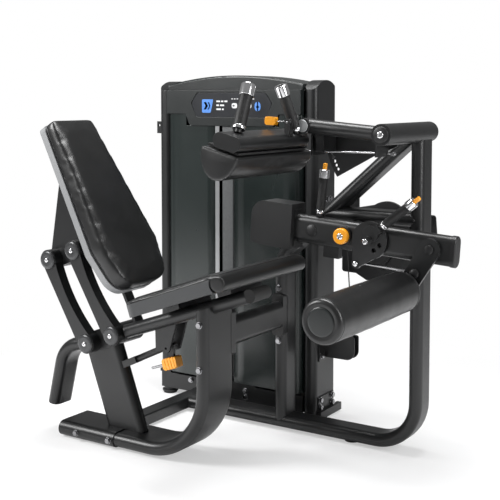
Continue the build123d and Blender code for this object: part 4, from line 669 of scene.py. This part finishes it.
roller_skin = lathe("roller_cushion", (roller_mid.x, roller_low.y, roller_mid.z), (0, 1, 0), skin + mirror,
                    [vinyl, piping], "roller", segments=96)
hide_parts("ankle_roller")
for tag, at_y, way in (("near", roller_low.y + 0.008, -1), ("far", roller_high.y - 0.008, 1)):
    disc = [(0, 0, 0), (0, 0.0500, 0), (0.0008, 0.0500, 0), (0.0008, 0.0475, 0), (0.0052, 0.0470, 1),
            (0.0068, 0.0450, 1), (0.0072, 0.0400, 1), (0.0074, 0.0, 1)]
    lathe("roller_disc_" + tag, (roller_mid.x, at_y, roller_mid.z), (0, way, 0), disc, [trim, cover],
          "roller")


# ---------------------------------------------------------------- caps and bolts on the pivots
def pivot(name):
    return Vector(joints[name]["pos_m"])


def near_face(node):
    return Vector(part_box(node)[0]).y


link_step = pivot("backrest_level") - pivot("backrest_slide")
cap_profile = [(0, 0, 0), (0, 0.037, 0), (0.003, 0.037, 0), (0.006, 0.0355, 0), (0.0085, 0.031, 0),
               (0.0095, 0.024, 0), (0.0085, 0.0165, 0), (0.0085, 0, 0)]
for body, node, foot in (("rear_link", "link_rear", pivot("backrest_slide")),
                         ("front_link", "link_front", pivot("front_link_swing"))):
    for tag, at in (("low", foot), ("top", foot + link_step)):
        face_y = near_face(node) + 0.0048
        lathe(f"{body}_cap_{tag}", (at.x, face_y, at.z), NEAR, cap_profile, [cast_cap], body)
        socket_bolt(f"{body}_bolt_{tag}", (at.x, face_y - 0.0082, at.z), NEAR, 0.0095, body, 0.005)

knee = pivot("lever_swing")
socket_bolt("knee_bolt", (knee.x, near_face("knee_cap") + 0.0005, knee.z), NEAR, 0.0125, "lever", 0.004)
adjust_at = pivot("start_adjust")
arm_at = pivot("roller_arm_swing")
hub = pivot("thigh_adjust")
socket_bolt("disc_bolt", (adjust_at.x, near_face("adjust_disc") + 0.0005, adjust_at.z), NEAR, 0.011,
            "adjuster", 0.004)
disc_face = near_face("lever_beam") - 0.0033
stud = [(0, 0, 0), (0, 0.019, 0), (0.0008, 0.019, 0), (0.0008, 0.0165, 0), (0.004, 0.0162, 0),
        (0.0052, 0.0145, 0), (0.0056, 0, 0)]
lathe("arm_stud", (arm_at.x, disc_face - 0.003, arm_at.z), NEAR, stud, [trim], "roller_arm")
lug_step = pivot("rod_pivot") - adjust_at
link_lug = arm_at + lug_step
lathe("link_lug_stud", (link_lug.x, disc_face - 0.003, link_lug.z), NEAR, stud, [trim], "roller_arm")
disc_lug = adjust_at + lug_step
socket_bolt("disc_lug_bolt", (disc_lug.x, disc_face - 0.0055, disc_lug.z), NEAR, 0.010, "adjuster", 0.004)

# The cap in the thigh arm's hub, with its rim and its bolt.
hub_face = near_face("pivot_housing") - 0.1353
hub_cap = [(0, 0, 0), (0, 0.0295, 0), (0.003, 0.0295, 0), (0.005, 0.028, 0), (0.0065, 0.024, 0),
           (0.0065, 0.0, 0)]
lathe("thigh_hub_cap", (hub.x, hub_face, hub.z), NEAR, hub_cap, [trim], "thigh")
socket_bolt("thigh_hub_bolt", (hub.x, hub_face - 0.0062, hub.z), NEAR, 0.0125, "thigh", 0.005)
elbow_cap = [(0, 0, 0), (0, 0.0225, 0), (0.0012, 0.0225, 0), (0.0024, 0.0215, 0), (0.0028, 0.0180, 0),
             (0.0030, 0, 0)]
lathe("thigh_elbow_cap", THIGH_ELBOW, NEAR, elbow_cap, [bright_cap], "thigh")
blank_at = knee + Vector((-0.135 * math.cos(LEVER_SLOPE), 0, 0.135 * math.sin(LEVER_SLOPE)))
blank = [(0, 0, 0), (0, 0.0215, 0), (0.001, 0.0215, 0), (0.002, 0.020, 0), (0.0022, 0, 0)]
lathe("lever_blank_cap", (blank_at.x, near_face("lever_beam") + 0.0085, blank_at.z), NEAR, blank, [trim],
      "lever")


# ---------------------------------------------------------------- release paddles
WIRE_SEGMENTS = 24
low, high = (Vector(c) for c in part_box("thigh_release"))
pin_at = Vector((high.x - 0.009, (low.y + high.y) / 2, low.z + 0.012))
paddle = rounded_outline([(-0.023, -0.013), (0.021, -0.015), (0.023, 0.014), (-0.021, 0.017)], 0.006)
thigh_paddle = plate("thigh_paddle", paddle,
                     near_place(pin_at.x - 0.072, pin_at.y + 0.010, pin_at.z + 0.003, 0.0), 0.020, [amber],
                     "thigh_release", rim=0.004)
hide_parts("thigh_release")
wire = [(0, 0, 0), (0, 0.0032, 0), (0.052, 0.0032, 0), (0.052, 0.0055, 0), (0.060, 0.0058, 0),
        (0.062, 0.0, 0)]
thigh_wire = lathe("thigh_wire", (pin_at.x - 0.056, pin_at.y, pin_at.z + 0.003), (1, 0, -0.03), wire,
                   [chrome], "thigh_release", segments=WIRE_SEGMENTS)
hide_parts("thigh_release")
eye = [(0, 0, 0), (0, 0.0042, 0), (0.008, 0.0042, 0), (0.008, 0.008, 0), (0.020, 0.008, 0),
       (0.020, 0.0042, 0), (0.028, 0.0042, 0), (0.028, 0, 0)]
thigh_eye = lathe("thigh_eye", (pin_at.x, pin_at.y - 0.014, pin_at.z), (0, 1, 0), eye, [chrome],
                  "thigh_release", segments=WIRE_SEGMENTS)
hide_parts("thigh_release")

low, high = (Vector(c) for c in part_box("seat_release"))
grip_at = Vector((SEAT_GRIP_X, (low.y + high.y) / 2 - 0.004, SEAT_GRIP_Z))
seat_grip_outline = rounded_outline([(-0.036, -0.020), (0.030, -0.022), (0.034, 0.020), (-0.034, 0.022)],
                                    0.006)
seat_grip = plate("seat_grip", seat_grip_outline,
                  near_place(grip_at.x, grip_at.y + 0.020, grip_at.z, SEAT_SLOPE), 0.040, [amber],
                  "seat_release", rim=0.004)
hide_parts("seat_release")
for number in range(4):
    step = -0.022 + 0.014 * number
    rib_at = grip_at + Vector((math.cos(SEAT_SLOPE), 0, math.sin(SEAT_SLOPE))) * step
    rib_outline = rounded_outline([(-0.0028, -0.0225), (0.0028, -0.0225), (0.0028, 0.0225),
                                   (-0.0028, 0.0225)], 0.0012, 2)
    rib = plate(f"seat_grip_rib_{number}", rib_outline,
                near_place(rib_at.x, rib_at.y + 0.0215, rib_at.z, SEAT_SLOPE), 0.043, [amber], "seat_release",
                rim=0.0008)
    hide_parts("seat_release")
pivot_at = Vector((SEAT_PIVOT_X, (low.y + high.y) / 2, SEAT_PIVOT_Z))
lever_outline = rounded_outline([(-0.011, -0.062), (0.011, -0.062), (0.013, 0.012), (-0.013, 0.012)], 0.005)
seat_lever = plate("seat_release_lever", lever_outline,
                   near_place(pivot_at.x, pivot_at.y + 0.0055, pivot_at.z, 0.0), 0.011, [powder],
                   "seat_release", rim=0.0012)
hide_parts("seat_release")
seat_wire = [(0, 0, 0), (0, 0.005, 0), (0.060, 0.005, 0), (0.062, 0.003, 0), (0.062, 0, 0)]
wire_way = Vector((-math.cos(SEAT_SLOPE), 0, -math.sin(SEAT_SLOPE)))
seat_rod = lathe("seat_release_rod", grip_at + wire_way * 0.034 + Vector((0, -0.010, 0)), wire_way, seat_wire,
                 [steel], "seat_release", segments=WIRE_SEGMENTS)
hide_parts("seat_release")

# ---------------------------------------------------------------- the stack's cable
# A straight tube in place of the CAD cable. The real cable gets shorter as the stack rises.
low, high = (Vector(c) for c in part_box("stack_cable"))
cable_r = (high.y - low.y) / 2
cable_len = high.z - low.z
CABLE_RINGS = 60  # rings along the cable's length
cable_line = [(0, 0, 0)]
cable_line += [(cable_len * k / CABLE_RINGS, cable_r, 0) for k in range(CABLE_RINGS + 1)]
cable_line += [(cable_len, 0, 0)]
cable_foot = Vector(((low.x + high.x) / 2, (low.y + high.y) / 2, low.z))
lifted_cable = lathe("lifted_cable", cable_foot, (0, 0, 1), cable_line, [cable_skin], None, segments=16)
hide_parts("stack_cable")
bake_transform(lifted_cable)

# ---------------------------------------------------------------- end plugs of the open tubes
TUBE_WIDE, TUBE_THICK = 0.110, 0.052
PLUG_THICK = 0.004
ARC_STEPS = 12


def plug(name, at, facing, wide_axis, body):
    """A moulded plug that closes a flat-oval tube, a little proud of its end."""
    n = Vector(facing).normalized()
    u = Vector(wide_axis).normalized()
    v = n.cross(u)
    rows = [(u[i], v[i], n[i], at[i]) for i in range(3)]
    place = Matrix(rows + [(0, 0, 0, 1)])
    half, r = TUBE_WIDE / 2 - TUBE_THICK / 2, TUBE_THICK / 2
    outline = []
    for side in (1, -1):
        for k in range(ARC_STEPS + 1):
            turn = math.pi * (k / ARC_STEPS - 0.5)
            outline.append((side * (half + r * math.cos(turn)), side * r * math.sin(turn)))
    return plate(name, outline, place, PLUG_THICK, [trim], body, rim=0.0012)


tail_low, tail_high = (Vector(c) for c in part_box("tail_tube"))
tail_way = Vector((-0.057, 0, -0.237)).normalized()
tail_end = Vector((-0.772, (tail_low.y + tail_high.y) / 2, 0.115))
plug("tail_plug", tail_end - tail_way * 0.0005, tail_way, FAR, "frame")
main_low, main_high = (Vector(c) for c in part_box("main_rail"))
plug("main_rail_plug", (main_low.x - 0.0002, (main_low.y + main_high.y) / 2, 0.034), (-1, 0, 0), FAR, "frame")

# ---------------------------------------------------------------- the tower's trims, shield and placard
cover_low, cover_high = (Vector(c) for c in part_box("placard_cover"))
left_low, left_high = (Vector(c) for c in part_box("left_panel"))
right_low = Vector(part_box("right_panel")[0])
slot_left, slot_right = left_high.x, right_low.x
panel_face = left_low.y


def upright_strip(name, x_from, x_to, z_from, z_to, near_y, thick, mats, body, radius=0.002):
    """An upright strip whose face lies at near_y."""
    corners = [(x_from, z_from), (x_to, z_from), (x_to, z_to), (x_from, z_to)]
    outline = rounded_outline(corners, radius)
    return plate(name, outline, near_place(0, near_y + thick, 0), thick, mats, body, rim=0.0006)


slot_top = cover_low.z - 0.001
upright_strip("slot_trim", slot_left - 0.004, slot_left + 0.017, left_low.z + 0.02, slot_top,
              panel_face - 0.0012, 0.0012, [silver], "frame")
upright_strip("slot_shield", slot_left + 0.029, slot_right - 0.001, 0.45, slot_top, panel_face + 0.006, 0.003,
              [frost], "frame")
upright_strip("slot_edge", slot_right - 0.001, slot_right + 0.004, left_low.z + 0.02, slot_top,
              panel_face - 0.001, 0.001, [trim], "frame", 0.0008)

placard_x = (cover_low.x + cover_high.x) / 2 - 0.001
placard_z = cover_high.z
corners = [(-0.207, -0.056), (-0.181, -0.117), (0.181, -0.117), (0.207, -0.056), (0.175, -0.012),
           (-0.175, -0.012)]
outline = rounded_outline(corners, 0.013)
placard_place = near_place(placard_x, cover_low.y + 0.003, placard_z)
plate("placard", outline, placard_place, 0.0022, [plate_face], "frame", rim=0.0006)
# The marks share one mesh. Their index picks the colour: white, blue, orange or the placard's own.
marks = bmesh.new()
MARK_THICK = 0.0004
mark_place = near_place(placard_x, cover_low.y + 0.0008, placard_z)


def mark(corners, index, radius=0.002):
    """One mark of the placard, with the outline of its corners."""
    plate("", rounded_outline(corners, radius, 3), mark_place, MARK_THICK, None, None, index, 0, marks)


def pill(u, v, width, tall, index=0):
    """A mark with round ends."""
    mark([(u, v), (u + width, v), (u + width, v + tall), (u, v + tall)], index, tall * 0.45)


mark([(-0.150, -0.098), (-0.104, -0.098), (-0.090, -0.040), (-0.150, -0.040)], 1, 0.006)
mark([(-0.141, -0.084), (-0.128, -0.084), (-0.118, -0.068), (-0.128, -0.052), (-0.141, -0.052),
      (-0.131, -0.068)], 0, 0.001)
mark([(-0.121, -0.084), (-0.114, -0.084), (-0.105, -0.068), (-0.113, -0.052), (-0.120, -0.052),
      (-0.111, -0.068)], 2, 0.001)
for row, widths in enumerate(((0.020, 0.012, 0.016), (0.014, 0.022), (0.024, 0.010))):
    at = -0.074
    for width in widths:
        pill(at, -0.052 - row * 0.017, width, 0.007)
        at += width + 0.005
for column in range(3):
    pill(0.006 + column * 0.036, -0.078, 0.028, 0.022, 0)
    pill(0.011 + column * 0.036, -0.071, 0.010, 0.008, 3)
for column in range(9):
    pill(0.004 + column * 0.0135, -0.040, 0.008, 0.004)
pill(0.122, -0.090, 0.030, 0.040, 1)
pill(0.128, -0.075, 0.018, 0.006)
new_object("placard_marks", marks, [ink_white, ink_blue, ink_orange, plate_face], "frame", smooth=False)

# Scale marks on the front edges of the plates, two to a plate.
PLATE_PITCH = 0.018
MARK_FOOT, MARK_TALL = 0.0045, 0.009
resting_low, resting_high = (Vector(c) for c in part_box("resting_plates"))
for tag, first, count, body in (("rest", resting_low.z, 11, "frame"),
                                ("lifted", resting_high.z + 0.0004, 6, "stack")):
    bm = bmesh.new()
    for k in range(count):
        z = first + PLATE_PITCH * k + MARK_FOOT
        for x_from, x_to, index in ((-0.350, -0.341, 0), (-0.388, -0.377, 1)):
            corners = [(x_from, z), (x_to, z), (x_to, z + MARK_TALL), (x_from, z + MARK_TALL)]
            outline = rounded_outline(corners, 0.0012, 3)
            plate("", outline, near_place(0, resting_low.y, 0), 0.0006, None, None, index, 0, bm)
    new_object("stack_marks_" + tag, bm, [ink_white, ink_orange], body, smooth=False)


# ---------------------------------------------------------------- screws of the rear panel
SCREW_R = 0.007
rear_low, rear_high = (Vector(c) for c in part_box("rear_panel"))
rear_places = [(x, rear_high.y - 0.0002, z) for x in (rear_low.x + 0.03, rear_high.x - 0.03)
               for z in (rear_low.z + 0.06, (rear_low.z + rear_high.z) / 2, rear_high.z - 0.06)]
for number, at in enumerate(rear_places):
    socket_bolt(f"rear_screw_{number}", at, FAR, SCREW_R, "frame", SCREW_R * 0.35, [steel])

# ---------------------------------------------------------------- stage, light and camera
FLOOR_HALF = 30
FADE_FROM, FADE_TO = 1.05, 1.9  # distance from the machine over which the floor turns to plain white
FADE_START = 0.45  # share of plain white near the machine, which keeps the shadow pale
ROOM_LEVEL = 0.24  # strength of the world for all but camera and transmission rays
bm = bmesh.new()
bmesh.ops.create_grid(bm, x_segments=1, y_segments=1, size=FLOOR_HALF)
floor_mat = bpy.data.materials.new("stage_floor")
floor_mat.use_nodes = True
tree = floor_mat.node_tree
floor_shader = tree.nodes["Principled BSDF"]
floor_shader.inputs["Base Color"].default_value = (0.93, 0.93, 0.935, 1)
floor_shader.inputs["Roughness"].default_value = 0.8
floor_shader.inputs["Specular IOR Level"].default_value = 0.1
far_white = tree.nodes.new("ShaderNodeEmission")
spot = tree.nodes.new("ShaderNodeTexCoord")
reach = tree.nodes.new("ShaderNodeVectorMath")
reach.operation = "LENGTH"
tree.links.new(spot.outputs["Object"], reach.inputs[0])
fade = tree.nodes.new("ShaderNodeMapRange")
fade.inputs["From Min"].default_value = FADE_FROM
fade.inputs["From Max"].default_value = FADE_TO
fade.inputs["To Min"].default_value = FADE_START
tree.links.new(reach.outputs["Value"], fade.inputs["Value"])
seen_floor = tree.nodes.new("ShaderNodeLightPath")
only_seen = tree.nodes.new("ShaderNodeMath")
only_seen.operation = "MULTIPLY"
tree.links.new(fade.outputs["Result"], only_seen.inputs[0])
tree.links.new(seen_floor.outputs["Is Camera Ray"], only_seen.inputs[1])
blend = tree.nodes.new("ShaderNodeMixShader")
tree.links.new(only_seen.outputs["Value"], blend.inputs[0])
tree.links.new(floor_shader.outputs["BSDF"], blend.inputs[1])
tree.links.new(far_white.outputs["Emission"], blend.inputs[2])
tree.links.new(blend.outputs["Shader"], tree.nodes["Material Output"].inputs["Surface"])
floor = new_object("stage_plane", bm, [floor_mat], smooth=False)

world = bpy.data.worlds.new("studio")
bpy.context.scene.world = world
world.use_nodes = True
tree = world.node_tree
back = tree.nodes["Background"]
back.inputs["Color"].default_value = (1, 1, 1, 1)
paths = tree.nodes.new("ShaderNodeLightPath")
seen = tree.nodes.new("ShaderNodeMath")
seen.operation = "MAXIMUM"
tree.links.new(paths.outputs["Is Camera Ray"], seen.inputs[0])
tree.links.new(paths.outputs["Is Transmission Ray"], seen.inputs[1])
level = tree.nodes.new("ShaderNodeMapRange")
level.inputs["To Min"].default_value = ROOM_LEVEL
level.inputs["To Max"].default_value = 1.0
tree.links.new(seen.outputs["Value"], level.inputs["Value"])
tree.links.new(level.outputs["Result"], back.inputs["Strength"])


def lamp(name, at, aim, size, power):
    """A soft box at a place, turned to its aim."""
    data = bpy.data.lights.new(name, "AREA")
    data.shape = "RECTANGLE"
    data.size, data.size_y = size
    data.energy = power
    obj = bpy.data.objects.new(name, data)
    bpy.context.scene.collection.objects.link(obj)
    obj.location = at
    obj.rotation_mode = "QUATERNION"
    obj.rotation_quaternion = (Vector(aim) - Vector(at)).to_track_quat("-Z", "Y")


lamp("key_lamp", (-2.6, -2.6, 2.9), (0, 0, 0.6), (1.3, 1.6), 170)
lamp("right_lamp", (3.4, -0.4, 2.0), (0, 0, 0.7), (0.5, 2.4), 70)
lamp("top_lamp", (0.0, 0.2, 4.0), (0, 0, 0.5), (2.4, 1.0), 150)

# The camera is solved from the photograph's upright and floor edges.
PITCH = math.radians(3.83)
HEADING = math.radians(33)
CAMERA_AT = (2.10, -3.25, 1.349)
LEVEL_LENS = 73.1
SHIFT_UP = -0.170
cam_data = bpy.data.cameras.new("view")
cam_data.sensor_width = 36
cam_data.lens = LEVEL_LENS * math.cos(PITCH)
cam_data.shift_y = SHIFT_UP
cam = bpy.data.objects.new("view", cam_data)
bpy.context.scene.collection.objects.link(cam)
cam.location = CAMERA_AT
look = Vector((-math.sin(HEADING) * math.cos(PITCH), math.cos(HEADING) * math.cos(PITCH), -math.sin(PITCH)))
cam.rotation_mode = "QUATERNION"
cam.rotation_quaternion = look.to_track_quat("-Z", "Y")
bpy.context.scene.camera = cam
bpy.context.scene.view_settings.view_transform = "Standard"
